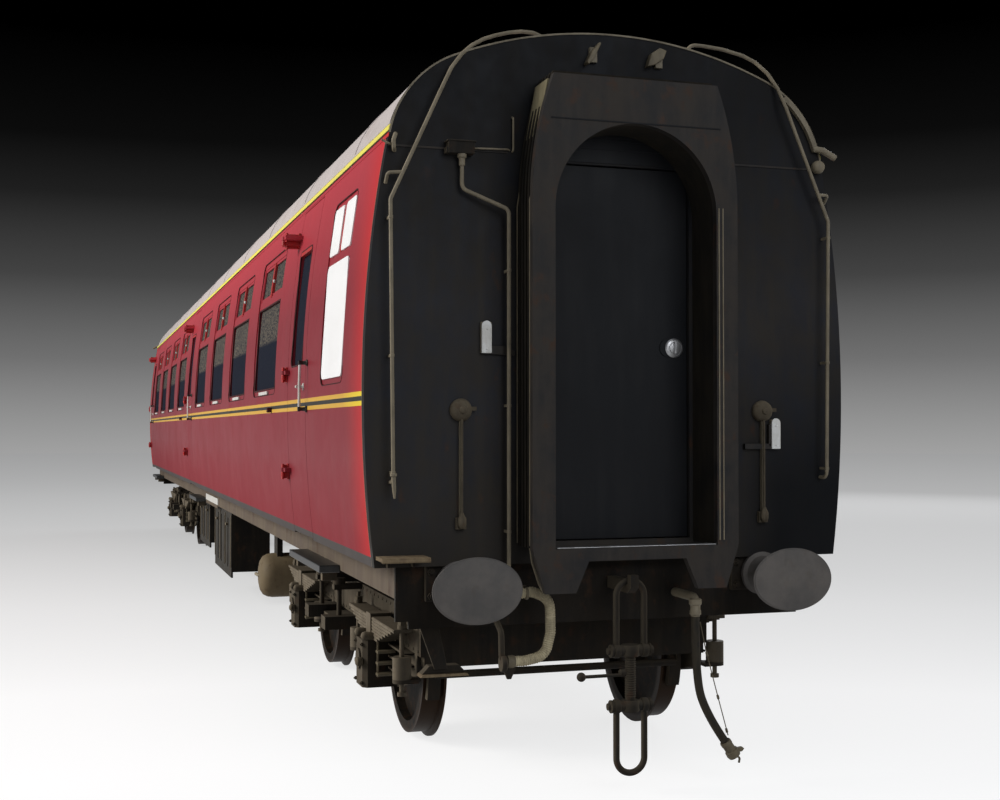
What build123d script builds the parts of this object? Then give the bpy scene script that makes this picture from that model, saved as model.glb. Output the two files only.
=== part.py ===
"""Passenger coach with side doors, gangways and two four-wheel bogies.

X runs along the coach with the lavatory end at +X, Y is sideways, Z is up.
Z is zero at the bottom of the wheel flanges. All sizes are millimetres.
"""

import math
import os

from build123d import *

os.makedirs("parts", exist_ok=True)

# Clearances
seat_gap = 0.3
door_gap = 7
running_gap = 12
bearing_gap = 0.08

# Rail level and the heights above it
flange_depth = 30
rail_z = flange_depth
sill_z = rail_z + 1147
floor_z = rail_z + 1260
waist_z = rail_z + 2030
cant_z = rail_z + 3361
roof_z = rail_z + 3968

# Body section
waist_half = 1372
side_radius = 6950
side_wall = 70
roof_radius = 2340
roof_turn_half = 900
roof_wall = 60

# Body length and ends
body_half = 9800
end_wall = 60
shell_half = body_half - end_wall

# Side doors, one row per side in the same places
door_width = 743
door_wall = 45
door_head = rail_z + 3332
door_foot = sill_z + 12
door_front_x = body_half - 2170
door_middle_x = -920
door_rear_x = 740 - body_half
door_centres = (door_front_x, door_middle_x, door_rear_x)
door_names = ("front", "middle", "rear")
light_width = 460
light_foot = rail_z + 2266
light_head = rail_z + 3040
light_corner = 45
pane_wall = 6

# Door hinges on an upright axis outside the waist
hinge_y = waist_half + 28
hinge_radius = 14
hinge_high = 26
hinge_leaf = 12
hinge_pin = 6
hinge_heights = (rail_z + 1560, rail_z + 2220, rail_z + 3140)
leaf_length = 90

# Partitions
partition_wall = 30
vestibule_front_x = body_half - 1640
vestibule_saloon_x = body_half - 2600
centre_front_x = -480
centre_rear_x = -1340
rear_vestibule_x = 1160 - body_half
partition_places = (
    vestibule_front_x,
    vestibule_saloon_x,
    centre_front_x,
    centre_rear_x,
    rear_vestibule_x,
)

# Saloons: low end, high end, window pitch share and share of a pitch to the first window
saloons = (
    (centre_front_x, vestibule_saloon_x, 0.238, 0.566),
    (rear_vestibule_x, centre_rear_x, 0.2504, 0.4465),
)
bays = 4
window_share = 0.673

# Windows
window_foot = rail_z + 2105
window_head = rail_z + 3180
window_corner = 70
lavatory_x = body_half - 920
lavatory_width = 690
frame_edge = 45
frame_wall = 34
frame_depth = 8
transom_z = rail_z + 2835
transom_high = 70
pane_depth = 24
vent_bar = 22
vent_wall = 10
vent_depth = 12
window_bays = []
for low, high, pitch_share, first_share in saloons:
    pitch = (high - low) * pitch_share
    window_bays += [(low + (i + first_share) * pitch, pitch) for i in range(bays)]
window_places = [(x, pitch * window_share) for x, pitch in window_bays]
window_places.append((lavatory_x, lavatory_width))

# Roof ventilators
ventilator_radius = 130
ventilator_high = 55
ventilator_rows = 9

# Gangways
passage_half = 430
passage_head = rail_z + 3260
gangway_half = 572
gangway_mouth = 450
gangway_head = rail_z + 3658
mouth_head = rail_z + 3425
mouth_foot = rail_z + 1245
gangway_foot = rail_z + 1020
gangway_draw_in = 115
shoulder_z = rail_z + 3010
bellows_front = body_half + 250
bellows_half = 560
bellows_head = rail_z + 3680
bellows_dip = 30
bellows_folds = 5
faceplate_wall = 45
leg_cut = 270
leg_flare = 70
leg_cut_head = rail_z + 1180
gangway_door_wall = 40
end_knuckle = 10
end_leaf = 4
end_strap = 60
end_hinge_heights = (rail_z + 1600, rail_z + 2300, rail_z + 3000)
handle_radius = 48
handle_proud = 6
handle_z = rail_z + 2290

# Inside
doorway_half = 340
doorway_high = 1980
corridor_half = 500
lavatory_ceiling = rail_z + 3700
aisle_half = 240
seat_outer = 1250
seat_depth = 470
seat_high = 430
cushion_high = 120
back_wall = 130
back_high = 1130
table_width = 560
table_high = 700
table_wall = 28
table_inner = 330
table_leg = 60
rack_z = rail_z + 3060
rack_width = 330
rack_wall = 25

# Underframe
solebar_half = 1190
solebar_foot = rail_z + 978
solebar_web = 12
solebar_flange = 85
frame_half = body_half - 100
headstock_wall = 26
headstock_foot = rail_z + 860
bearer_web = 90
bearer_rows = 7
bearer_pitch = frame_half / 5
bearer_foot = solebar_foot + 30
centre_sill_y = 300
centre_sill_web = 60
bogie_centre = body_half - 2713
bogie_centres = (bogie_centre, -bogie_centre)
plate_x = 240
plate_width = 1340
plate_high = 115
plate_z = rail_z + 1008
plate_wall = 6

# Buffers and couplings
buffer_y = 870
buffer_z = rail_z + 1054
buffer_face = body_half + 350
buffer_head_wide = 500
buffer_head_high = 355
buffer_head_wall = 34
buffer_rod = 55
buffer_barrel = 85
buffer_barrel_front = body_half + 130
buffer_base = 170
buffer_base_wall = 35
hook_z = rail_z + 1030
hook_x = body_half + 185
hook_shank = 64
hook_wall = 44
link_bar = 17
link_half = 78
upper_pin_z = rail_z + 700
lower_pin_z = rail_z + 414
shackle_foot = rail_z + 50
eye_wall = 26
eye_radius = 30
screw_radius = 26
bar_z = rail_z + 575
bar_radius = 9
bar_length = 272
ball_radius = 24

# Pipes on the end
pipe_stand = 70
pipe_radius = 12
pipe_bend = 34
roof_pipe_y = 380
roof_pipe_z = rail_z + 3850
shoulder_pipe_y = 890
shoulder_pipe_z = rail_z + 3700
side_pipe_y = 1235
side_pipe_head = rail_z + 3030
side_pipe_foot = rail_z + 1580
alarm_y = 888
alarm_z = rail_z + 3298
alarm_width = 90
alarm_wall = 55
alarm_drop = 150
drop_pipe_y = 625
drop_pipe_head = rail_z + 2990
drop_pipe_foot = rail_z + 1120

# Hoses at the end
stub_radius = 22
stub_end = 60
heat_x = body_half + 130
heat_y = 660
heat_z = rail_z + 1005
heat_bow_y = -450
heat_foot = rail_z + 665
heat_end_y = -650
heat_bend = 90
heat_radius = 27
heat_head_radius = 34
heat_head = 50
heat_strap = 14
brake_x = body_half + 180
brake_y = 375
brake_z = rail_z + 960
brake_drop = 90
hose_knee_z = rail_z + 540
hose_bow_y = 435
hose_bow_z = rail_z + 345
hose_end_y = 548
hose_end_z = rail_z + 187
hose_radius = 22
bend_share = 0.45
head_radius = 29
head_length = 95

# Fittings on the end
iron_places = ((-732, rail_z + 2324), (943, rail_z + 1822))
iron_width = 52
iron_high = 160
iron_proud = 24
lug_places = ((-135, rail_z + 3845), (245, rail_z + 3845))
lug_width = 40
lug_high = 80
disc_y = 866
disc_z = rail_z + 1948
disc_radius = 46
rod_width = 16
rod_foot = rail_z + 1362

# Steps
board_head = rail_z + 1010
board_wall = 45
board_lengths = (1200, 960, 1200)
board_width = 130
corner_step = 150
corner_step_width = 250
corner_step_y = 1190
corner_step_wall = 26
hung_step = 270
hung_step_width = 260
hung_step_y = 920
hung_step_z = rail_z + 560
hung_iron = 30

# Gear under the floor
gear_head = solebar_foot
gear_skirt = 60
gear_front = 18
gear_slots = 5
slot_width = 70
gear_boxes = (
    (1045, 1700, rail_z + 327, 1130, 740, -1),
    (-1500, 1300, rail_z + 420, 1090, 640, -1),
    (-1045, 1700, rail_z + 327, 1130, 740, 1),
)
tank_z = rail_z + 500
tank_radius = 200
tank_out = 1080
tank_in = 300
tank_dome = 90
tank_strap = 50
cylinder_radius = 230
cylinder_foot = rail_z + 520

# Bogies
axle_half = 1295.5
wheel_radius = 457.5
axle_z = flange_depth + wheel_radius
tread_in = 680
tyre_wide = 135
flange_wide = 30
tyre_deep = 70
web_wide = 24
hub_radius = 125
hub_wide = 180
axle_radius = 82
journal_radius = 60
axle_end = 1010
box_wide = 230
box_high = 285
box_out = 1100
box_foot = rail_z + 296
spring_in = 925
spring_foot = box_foot + box_high
spring_out = 1035
spring_half = 640
leaf_thick = 19
leaf_shares = (0.3, 0.42, 0.54, 0.66, 0.78, 0.89, 1)
buckle_long = 120
buckle_wide = 130
hanger_x = 610
rod_radius = 14
rod_foot_z = rail_z + 335
cup_radius = 54
cup_foot = rail_z + 432
cup_high = 125
nut_radius = 26
nut_high = 22
rib_heights = (rail_z + 410, rail_z + 480, rail_z + 550)
rib_wide = 60
rib_wall = 12
box_chamfer = 28
boss_radius = 62
boss_wall = 12
frame_plate_y = 868
frame_plate_wall = 22
box_in = frame_plate_y + frame_plate_wall
frame_plate_foot = rail_z + 560
frame_plate_head = rail_z + 800
bogie_end = 1980
bogie_beam = 110
beam_foot = rail_z + 500
beam_head = rail_z + 720
transom_x = 330
transom_wall = 60
bolster_half_x = 200
bolster_half_y = 1060
bolster_foot = rail_z + 640
bolster_head = rail_z + 860
swing_x = 330
swing_y = 1040
swing_radius = 17
swing_cap = 42
swing_lug = 34
swing_box_long = 150
swing_box_wide = 220
swing_box_high = 86
plank_foot = rail_z + 504
plank_wall = 42
coil_y = 600
coil_radius = 90
shoe_wall = 48
shoe_y = 762
shoe_wide = 74
shoe_z = rail_z + 425
shoe_high = 300
brake_strap_wide = 44
brake_strap_wall = 18
brake_pin_z = rail_z + 610
pivot_radius = 150
cylinder_x = bogie_centre - bogie_end - 407
cylinder_places = ((cylinder_x, -450), (-cylinder_x, 450), (-cylinder_x, -450))
tank_x = cylinder_x - 800
pivot_pin = 55
pivot_foot = bolster_foot + 90


def side_y(z, depth=0):
    """Half width of the side at height z, a depth inside the outer face."""
    radius = side_radius - depth
    return waist_half - side_radius + math.sqrt(radius**2 - (z - waist_z) ** 2)


# Roof arcs: a wide crown arc runs tangent into a corner arc on each side
crown_z = roof_z - roof_radius
turn = math.asin(roof_turn_half / roof_radius)
turn_y, turn_z = roof_radius * math.sin(turn), crown_z + roof_radius * math.cos(turn)
cant_half = side_y(cant_z)
reach_y, reach_z = cant_half - turn_y, cant_z - turn_z
reach_along = reach_y * math.sin(turn) + reach_z * math.cos(turn)
corner_radius = -(reach_y**2 + reach_z**2) / (2 * reach_along)
corner_y = turn_y - corner_radius * math.sin(turn)
corner_z = turn_z - corner_radius * math.cos(turn)


def roof_points(depth):
    """Points of the roof arcs from the cantrail round to the crown, a depth inside."""
    small = corner_radius - depth
    last = math.acos((cant_z - corner_z) / small)
    middle = (last + turn) / 2
    large = roof_radius - depth
    ends = [(corner_y + small * math.sin(a), corner_z + small * math.cos(a)) for a in (last, middle)]
    return ends + [(large * math.sin(turn), crown_z + large * math.cos(turn)), (0, crown_z + large)]


def flip(point):
    """The same point on the other side of the coach."""
    return (-point[0], point[1])


def section_outline(depth, foot):
    """The closed body section a depth inside the outer face, from a foot height up."""
    a, b, c, crown = roof_points(depth)
    low, waist, high = (
        (side_y(foot, depth), foot),
        (side_y((foot + cant_z) / 2, depth), (foot + cant_z) / 2),
        (side_y(cant_z, depth), cant_z),
    )
    with BuildLine() as outline:
        ThreePointArc(low, waist, high)
        if abs(high[0] - a[0]) > seat_gap / 2:
            Line(high, a)
            start = a
        else:
            start = high
        ThreePointArc(start, b, c)
        ThreePointArc(c, crown, flip(c))
        ThreePointArc(flip(c), flip(b), flip(start))
        if start is a:
            Line(flip(a), flip(high))
        ThreePointArc(flip(high), flip(waist), flip(low))
        Line(flip(low), low)
    make_face(edges=outline.edges())


def run_between(a, b):
    """The straight run from one route point to the next."""
    return Vector(*b) - Vector(*a)


def side_band(near, far, foot, head):
    """The section of the side wall between two depths and two heights."""
    middle = (foot + head) / 2
    with BuildLine() as band:
        ThreePointArc((side_y(foot, near), foot), (side_y(middle, near), middle), (side_y(head, near), head))
        Line((side_y(head, near), head), (side_y(head, far), head))
        ThreePointArc((side_y(head, far), head), (side_y(middle, far), middle), (side_y(foot, far), foot))
        Line((side_y(foot, far), foot), (side_y(foot, near), foot))
    make_face(edges=band.edges())


# Floor
with BuildPart() as floor:
    with BuildSketch(Plane.XY.offset(sill_z)):
        Rectangle(2 * (shell_half - seat_gap), 2 * (side_y(sill_z, side_wall) - seat_gap))
    extrude(amount=floor_z - sill_z)
floor.part.label = "floor"
export_step(floor.part, "parts/floor.step")

# Body sides with the window and door openings, and the ends with the gangway passage
with BuildPart() as body_sides:
    with BuildSketch(Plane.YZ.offset(-shell_half)):
        side_band(0, side_wall, sill_z, cant_z)
    extrude(amount=2 * shell_half)
    for x, width in window_places:
        with BuildSketch(Plane.XZ):
            with Locations((x, (window_foot + window_head) / 2)):
                RectangleRounded(width, window_head - window_foot, window_corner)
        extrude(amount=-2 * waist_half, mode=Mode.SUBTRACT)
    with BuildSketch(Plane.XZ):
        for x in door_centres:
            with Locations((x, (sill_z + door_head) / 2)):
                Rectangle(door_width, door_head - sill_z)
    extrude(amount=-2 * waist_half, mode=Mode.SUBTRACT)
    mirror(about=Plane.XZ)
body_sides.part.label = "body_sides"
export_step(body_sides.part, "parts/body_sides.step")

passage_foot = floor_z
with BuildPart() as body_ends:
    with BuildSketch(Plane.YZ.offset(shell_half)):
        section_outline(0, sill_z)
    extrude(amount=end_wall)
    with BuildSketch(Plane.YZ.offset(shell_half)):
        with Locations((0, (passage_foot + passage_head) / 2)):
            Rectangle(2 * passage_half, passage_head - passage_foot)
    extrude(amount=end_wall, mode=Mode.SUBTRACT)
    mirror(about=Plane.YZ)
body_ends.part.label = "body_ends"
export_step(body_ends.part, "parts/body_ends.step")

# Roof
with BuildPart() as roof:
    outer = roof_points(0)
    inner = roof_points(roof_wall)
    with BuildSketch(Plane.YZ.offset(-shell_half)):
        with BuildLine():
            ThreePointArc(outer[0], outer[1], outer[2])
            ThreePointArc(outer[2], outer[3], flip(outer[2]))
            ThreePointArc(flip(outer[2]), flip(outer[1]), flip(outer[0]))
            Line(flip(outer[0]), flip(inner[0]))
            ThreePointArc(flip(inner[0]), flip(inner[1]), flip(inner[2]))
            ThreePointArc(flip(inner[2]), inner[3], inner[2])
            ThreePointArc(inner[2], inner[1], inner[0])
            Line(inner[0], outer[0])
        make_face()
    extrude(amount=2 * shell_half)
roof.part.label = "roof"
export_step(roof.part, "parts/roof.step")

# Roof ventilators seated on the crown
ventilator_y = roof_turn_half / 2
ventilator_base = crown_z + math.sqrt(roof_radius**2 - (ventilator_y - ventilator_radius) ** 2)
ventilator_pitch = 2 * shell_half / (ventilator_rows + 1)
with BuildPart() as roof_ventilators:
    with BuildSketch(Plane.XY.offset(turn_z)):
        for i in range(ventilator_rows):
            for side in (-1, 1):
                x = -shell_half + (i + 1) * ventilator_pitch
                with Locations((x, side * ventilator_y)):
                    Circle(ventilator_radius)
    extrude(amount=ventilator_base + ventilator_high - turn_z)
    with BuildSketch(Plane.YZ.offset(-body_half)):
        with Locations((0, crown_z)):
            Circle(roof_radius + seat_gap)
    extrude(amount=2 * body_half, mode=Mode.SUBTRACT)
roof_ventilators.part.label = "roof_ventilators"
export_step(roof_ventilators.part, "parts/roof_ventilators.step")

# Window frames, bent to the side
with BuildPart() as window_frames:
    with BuildSketch(Plane.XZ):
        for x, width in window_places:
            with Locations((x, (window_foot + window_head) / 2)):
                RectangleRounded(
                    width - 2 * seat_gap, window_head - window_foot - 2 * seat_gap, window_corner - seat_gap
                )
                RectangleRounded(
                    width - 2 * frame_edge,
                    window_head - window_foot - 2 * frame_edge,
                    window_corner - frame_edge,
                    mode=Mode.SUBTRACT,
                )
            with Locations((x, transom_z)):
                Rectangle(width - frame_edge, transom_high)
    extrude(amount=-2 * waist_half)
    with BuildSketch(Plane.YZ.offset(-shell_half)):
        side_band(frame_depth, frame_depth + frame_wall, window_foot - frame_edge, window_head + frame_edge)
    extrude(amount=2 * shell_half, mode=Mode.INTERSECT)
    mirror(about=Plane.XZ)
window_frames.part.label = "window_frames"
export_step(window_frames.part, "parts/window_frames.step")

# Panes in the frames: a deep lower one and a shallow upper one
upper_foot = transom_z + transom_high / 2
lower_head = transom_z - transom_high / 2
light_high = window_head - window_foot - 2 * frame_edge
with BuildPart() as window_panes:
    for x, width in window_places:
        with BuildSketch(Plane.XZ):
            for foot, head in (
                (window_foot + frame_edge, lower_head),
                (upper_foot, window_head - frame_edge),
            ):
                with Locations((x, (foot + head) / 2)):
                    Rectangle(width - 2 * frame_edge - 2 * seat_gap, head - foot - 2 * seat_gap)
            with Locations((x, (window_foot + window_head) / 2)):
                RectangleRounded(width - 2 * frame_edge, light_high, window_corner - frame_edge + seat_gap,
                                 mode=Mode.INTERSECT)
    extrude(amount=-2 * waist_half)
    with BuildSketch(Plane.YZ.offset(-shell_half)):
        side_band(pane_depth, pane_depth + pane_wall, window_foot, window_head)
    extrude(amount=2 * shell_half, mode=Mode.INTERSECT)
    mirror(about=Plane.XZ)
window_panes.part.label = "window_panes"
export_step(window_panes.part, "parts/window_panes.step")

# Sliding vent frames, two in each upper light
vent_high = window_head - frame_edge - upper_foot - 2 * seat_gap
with BuildPart() as vent_frames:
    for x, width in window_places:
        half = (width - 2 * frame_edge) / 2
        with BuildSketch(Plane.XZ):
            for side in (-1, 1):
                with Locations((x + side * half / 2, (upper_foot + window_head - frame_edge) / 2)):
                    Rectangle(half - 2 * seat_gap, vent_high)
                    Rectangle(half - 2 * vent_bar, vent_high - 2 * vent_bar, mode=Mode.SUBTRACT)
            with Locations((x, (window_foot + window_head) / 2)):
                RectangleRounded(width - 2 * frame_edge, light_high, window_corner - frame_edge + seat_gap,
                                 mode=Mode.INTERSECT)
    extrude(amount=-2 * waist_half)
    with BuildSketch(Plane.YZ.offset(-shell_half)):
        side_band(vent_depth, vent_depth + vent_wall, window_foot, window_head)
    extrude(amount=2 * shell_half, mode=Mode.INTERSECT)
    mirror(about=Plane.XZ)
vent_frames.part.label = "vent_frames"
export_step(vent_frames.part, "parts/vent_frames.step")

# Side doors, bent to the side, each with its hinge leaves and its pane
leaf_width = door_width - 2 * door_gap
for side, side_name in ((-1, "left"), (1, "right")):
    for centre, door_name in zip(door_centres, door_names):
        with BuildPart() as door:
            with BuildSketch(Plane.YZ.offset(centre - leaf_width / 2)):
                side_band(0, door_wall, door_foot, door_head - door_gap)
            extrude(amount=leaf_width)
            with BuildSketch(Plane.XZ):
                with Locations((centre, (light_foot + light_head) / 2)):
                    RectangleRounded(light_width, light_head - light_foot, light_corner)
            extrude(amount=-2 * waist_half, mode=Mode.SUBTRACT)
            for hinge_z in hinge_heights:
                with BuildSketch(Plane.XY.offset(hinge_z)):
                    with Locations((centre + side * door_width / 2, hinge_y)):
                        Circle(hinge_radius)
                    leaf_in = side_y(hinge_z, hinge_leaf)
                    with Locations((centre + side * (door_width - leaf_length) / 2, (leaf_in + hinge_y) / 2)):
                        Rectangle(leaf_length, hinge_y - leaf_in)
                    with Locations((centre + side * (door_width + leaf_length) / 2, leaf_in)):
                        Rectangle(leaf_length + 2 * door_gap, 2 * hinge_y - 2 * leaf_in - 2 * hinge_radius,
                                  mode=Mode.SUBTRACT)
                extrude(amount=hinge_high)
                with BuildSketch(Plane.XY.offset(hinge_z)):
                    with Locations((centre + side * door_width / 2, hinge_y)):
                        Circle(hinge_pin + bearing_gap)
                extrude(amount=hinge_high, mode=Mode.SUBTRACT)
            if side < 0:
                mirror(about=Plane.XZ, mode=Mode.REPLACE)
        name = "door_" + door_name + "_" + side_name
        door.part.label = name
        export_step(door.part, "parts/" + name + ".step")
        with BuildPart() as pane:
            with BuildSketch(Plane.XZ):
                with Locations((centre, (light_foot + light_head) / 2)):
                    RectangleRounded(light_width - 2 * seat_gap, light_head - light_foot - 2 * seat_gap,
                                     light_corner - seat_gap)
            extrude(amount=-2 * waist_half)
            with BuildSketch(Plane.YZ.offset(-shell_half)):
                side_band(pane_depth, pane_depth + pane_wall, light_foot, light_head)
            extrude(amount=2 * shell_half, mode=Mode.INTERSECT)
            if side < 0:
                mirror(about=Plane.XZ, mode=Mode.REPLACE)
        name = name + "_pane"
        pane.part.label = name
        export_step(pane.part, "parts/" + name + ".step")

# Fixed hinge brackets below each door leaf
with BuildPart() as door_hinges:
    for side in (-1, 1):
        for centre in door_centres:
            for hinge_z in hinge_heights:
                top = hinge_z - door_gap
                leaf_in = max(side_y(top), side_y(top - hinge_high))
                seam = centre + side * door_width / 2
                with BuildSketch(Plane.XY.offset(top - hinge_high)):
                    with Locations((seam, side * hinge_y)):
                        Circle(hinge_radius)
                    with Locations((seam + side * leaf_length / 2, side * (leaf_in + seat_gap + hinge_y) / 2)):
                        Rectangle(leaf_length, hinge_y - leaf_in - seat_gap)
                extrude(amount=hinge_high)
                with BuildSketch(Plane.XY.offset(top)):
                    with Locations((seam, side * hinge_y)):
                        Circle(hinge_pin)
                extrude(amount=door_gap + hinge_high)
# Gangway faceplates with their legs, and the folded bellows behind them
def gangway_outline(half, foot, head):
    """The upright outside shape of the gangway, drawn in above its shoulders to a flat top."""
    top_half = half - gangway_draw_in
    with BuildLine() as outside:
        Line((-half, foot), (-half, shoulder_z))
        TangentArc((-half, shoulder_z), (-top_half, head), tangent=(0, 1))
        Line((-top_half, head), (top_half, head))
        TangentArc((half, shoulder_z), (top_half, head), tangent=(0, 1))
        Line((half, shoulder_z), (half, foot))
        Line((half, foot), (-half, foot))
    make_face(edges=outside.edges())


def mouth_outline():
    """The opening of the gangway with its half-round head."""
    spring_z = mouth_head - gangway_mouth
    with BuildLine() as mouth:
        Line((-gangway_mouth, mouth_foot), (-gangway_mouth, spring_z))
        ThreePointArc((-gangway_mouth, spring_z), (0, mouth_head), (gangway_mouth, spring_z))
        Line((gangway_mouth, spring_z), (gangway_mouth, mouth_foot))
        Line((gangway_mouth, mouth_foot), (-gangway_mouth, mouth_foot))
    make_face(edges=mouth.edges(), mode=Mode.SUBTRACT)


with BuildPart() as gangway_faceplates:
    with BuildSketch(Plane.YZ.offset(bellows_front)):
        gangway_outline(gangway_half, mouth_foot, gangway_head)
        for side in (-1, 1):
            with BuildLine() as leg:
                Polyline(
                    (side * leg_cut, leg_cut_head),
                    (side * (leg_cut + leg_flare), gangway_foot),
                    (side * (gangway_half - leg_flare), gangway_foot),
                    (side * gangway_half, mouth_foot),
                    (side * leg_cut, mouth_foot),
                    close=True,
                )
            make_face()
        with Locations((0, (leg_cut_head + mouth_foot) / 2)):
            Rectangle(2 * leg_cut, mouth_foot - leg_cut_head)
        mouth_outline()
    extrude(amount=faceplate_wall)
    mirror(about=Plane.YZ)
gangway_faceplates.part.label = "gangway_faceplates"
export_step(gangway_faceplates.part, "parts/gangway_faceplates.step")

fold = (bellows_front - body_half) / (2 * bellows_folds)
with BuildPart() as gangway_bellows:
    for i in range(2 * bellows_folds):
        dip = bellows_dip * ((i + 1) % 2)
        with BuildSketch(Plane.YZ.offset(body_half + i * fold)):
            gangway_outline(bellows_half - dip, mouth_foot, bellows_head - dip)
            mouth_outline()
        extrude(amount=fold)
    mirror(about=Plane.YZ)
gangway_bellows.part.label = "gangway_bellows"
export_step(gangway_bellows.part, "parts/gangway_bellows.step")

# End doors hang on pins inside the end wall and swing inwards
end_pin_x = shell_half - end_knuckle - end_leaf
end_pin_y = -passage_half + door_gap / 2
with BuildPart() as front_door:
    with BuildSketch(Plane.YZ.offset(shell_half)):
        with Locations((0, (passage_foot + passage_head) / 2)):
            Rectangle(2 * (passage_half - door_gap), passage_head - passage_foot - 2 * door_gap)
    extrude(amount=gangway_door_wall)
    for end_hinge_z in end_hinge_heights:
        with BuildSketch(Plane.XY.offset(end_hinge_z)):
            with Locations((end_pin_x, end_pin_y)):
                Circle(end_knuckle)
            with Locations(((end_pin_x + shell_half) / 2, end_pin_y + end_strap / 2)):
                Rectangle(shell_half - end_pin_x, end_strap)
            with Locations((end_pin_x, end_pin_y)):
                Circle(hinge_pin + bearing_gap, mode=Mode.SUBTRACT)
        extrude(amount=hinge_high)
    with BuildSketch(Plane.YZ.offset(shell_half + gangway_door_wall)):
        with Locations((passage_half - 2 * end_strap, handle_z)):
            Circle(handle_radius)
    extrude(amount=handle_proud)
with BuildPart() as rear_door:
    add(front_door.part, rotation=(0, 0, 180))
for gangway_door, name in ((front_door, "gangway_door_front"), (rear_door, "gangway_door_rear")):
    gangway_door.part.label = name
    export_step(gangway_door.part, "parts/" + name + ".step")

with BuildPart() as front_end_hinges:
    for end_hinge_z in end_hinge_heights:
        foot = end_hinge_z - door_gap - hinge_high
        with BuildSketch(Plane.XY.offset(foot)):
            with Locations((end_pin_x, end_pin_y)):
                Circle(end_knuckle)
            with Locations(((end_pin_x + shell_half) / 2, end_pin_y - end_strap / 2)):
                Rectangle(shell_half - end_pin_x, end_strap)
        extrude(amount=hinge_high)
        with BuildSketch(Plane.XY.offset(foot + hinge_high)):
            with Locations((end_pin_x, end_pin_y)):
                Circle(hinge_pin)
        extrude(amount=door_gap + hinge_high)
with BuildPart() as all_hinges:
    add(door_hinges.part)
    add(front_end_hinges.part)
    add(front_end_hinges.part, rotation=(0, 0, 180))
all_hinges.part.label = "door_hinges"
export_step(all_hinges.part, "parts/door_hinges.step")

# Partitions: cross walls with doorways and the two lavatory walls
with BuildPart() as partitions:
    for x in partition_places:
        with BuildSketch(Plane.YZ.offset(x - partition_wall / 2)):
            section_outline(side_wall + seat_gap, floor_z)
            with Locations((0, floor_z + doorway_high / 2)):
                Rectangle(2 * doorway_half, doorway_high, mode=Mode.SUBTRACT)
        extrude(amount=partition_wall)
    with BuildSketch(Plane.XY.offset(floor_z)):
        for side in (-1, 1):
            with Locations(((vestibule_front_x + shell_half) / 2, side * (corridor_half + partition_wall / 2))):
                Rectangle(shell_half - vestibule_front_x, partition_wall)
    extrude(amount=lavatory_ceiling - floor_z)
partitions.part.label = "partitions"
export_step(partitions.part, "parts/partitions.step")

# Seats: facing pairs in each bay on both sides of the aisle, and their tables
# The last rear seat stands closer, against the vestibule wall
last_back_x = rear_vestibule_x + (partition_wall + back_wall) / 2
seat_width = seat_outer - aisle_half
seat_y = (seat_outer + aisle_half) / 2
seat_reach = (back_wall + seat_depth) / 2
seat_places = [x + facing * (pitch / 2 - seat_reach) for x, pitch in window_bays for facing in (-1, 1)]
cushion_places = [max(x, last_back_x + seat_reach) for x in seat_places]
back_places = [max(x - pitch / 2, last_back_x) for x, pitch in window_bays]
back_places += [x + pitch / 2 for x, pitch in (window_bays[bays - 1], window_bays[-1])]
with BuildPart() as seat_bases:
    with BuildSketch(Plane.XY.offset(floor_z)):
        for x in cushion_places:
            for side in (-1, 1):
                with Locations((x, side * seat_y)):
                    Rectangle(seat_depth - 2 * frame_edge, seat_width - 2 * frame_edge)
    extrude(amount=seat_high - cushion_high)
seat_bases.part.label = "seat_bases"
export_step(seat_bases.part, "parts/seat_bases.step")

with BuildPart() as seat_cushions:
    with BuildSketch(Plane.XY.offset(floor_z + seat_high - cushion_high)):
        for x in cushion_places:
            for side in (-1, 1):
                with Locations((x, side * seat_y)):
                    Rectangle(seat_depth - 2 * seat_gap, seat_width)
    extrude(amount=cushion_high)
seat_cushions.part.label = "seat_cushions"
export_step(seat_cushions.part, "parts/seat_cushions.step")

with BuildPart() as seat_backs:
    with BuildSketch(Plane.XY.offset(floor_z)):
        for x in back_places:
            for side in (-1, 1):
                with Locations((x, side * seat_y)):
                    Rectangle(back_wall - 2 * seat_gap, seat_width)
    extrude(amount=back_high)
seat_backs.part.label = "seat_backs"
export_step(seat_backs.part, "parts/seat_backs.step")

with BuildPart() as tables:
    with BuildSketch(Plane.XY.offset(floor_z + table_high)):
        for x, pitch in window_bays:
            for side in (-1, 1):
                with Locations((x, side * (seat_outer + table_inner) / 2)):
                    Rectangle(table_width, seat_outer - table_inner)
    extrude(amount=table_wall)
    with BuildSketch(Plane.XY.offset(floor_z)):
        for x, pitch in window_bays:
            for side in (-1, 1):
                with Locations((x, side * (table_inner + 2 * table_leg))):
                    Rectangle(table_leg, table_leg)
    extrude(amount=table_high)
tables.part.label = "tables"
export_step(tables.part, "parts/tables.step")

rack_out = side_y(rack_z, side_wall) - seat_gap
with BuildPart() as luggage_racks:
    with BuildSketch(Plane.XY.offset(rack_z)):
        for low, high in ((centre_front_x, vestibule_saloon_x), (rear_vestibule_x, centre_rear_x)):
            for side in (-1, 1):
                with Locations(((low + high) / 2, side * (rack_out - rack_width / 2))):
                    Rectangle(high - low - partition_wall - 2 * seat_gap, rack_width)
    extrude(amount=-rack_wall)
luggage_racks.part.label = "luggage_racks"
export_step(luggage_racks.part, "parts/luggage_racks.step")

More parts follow.
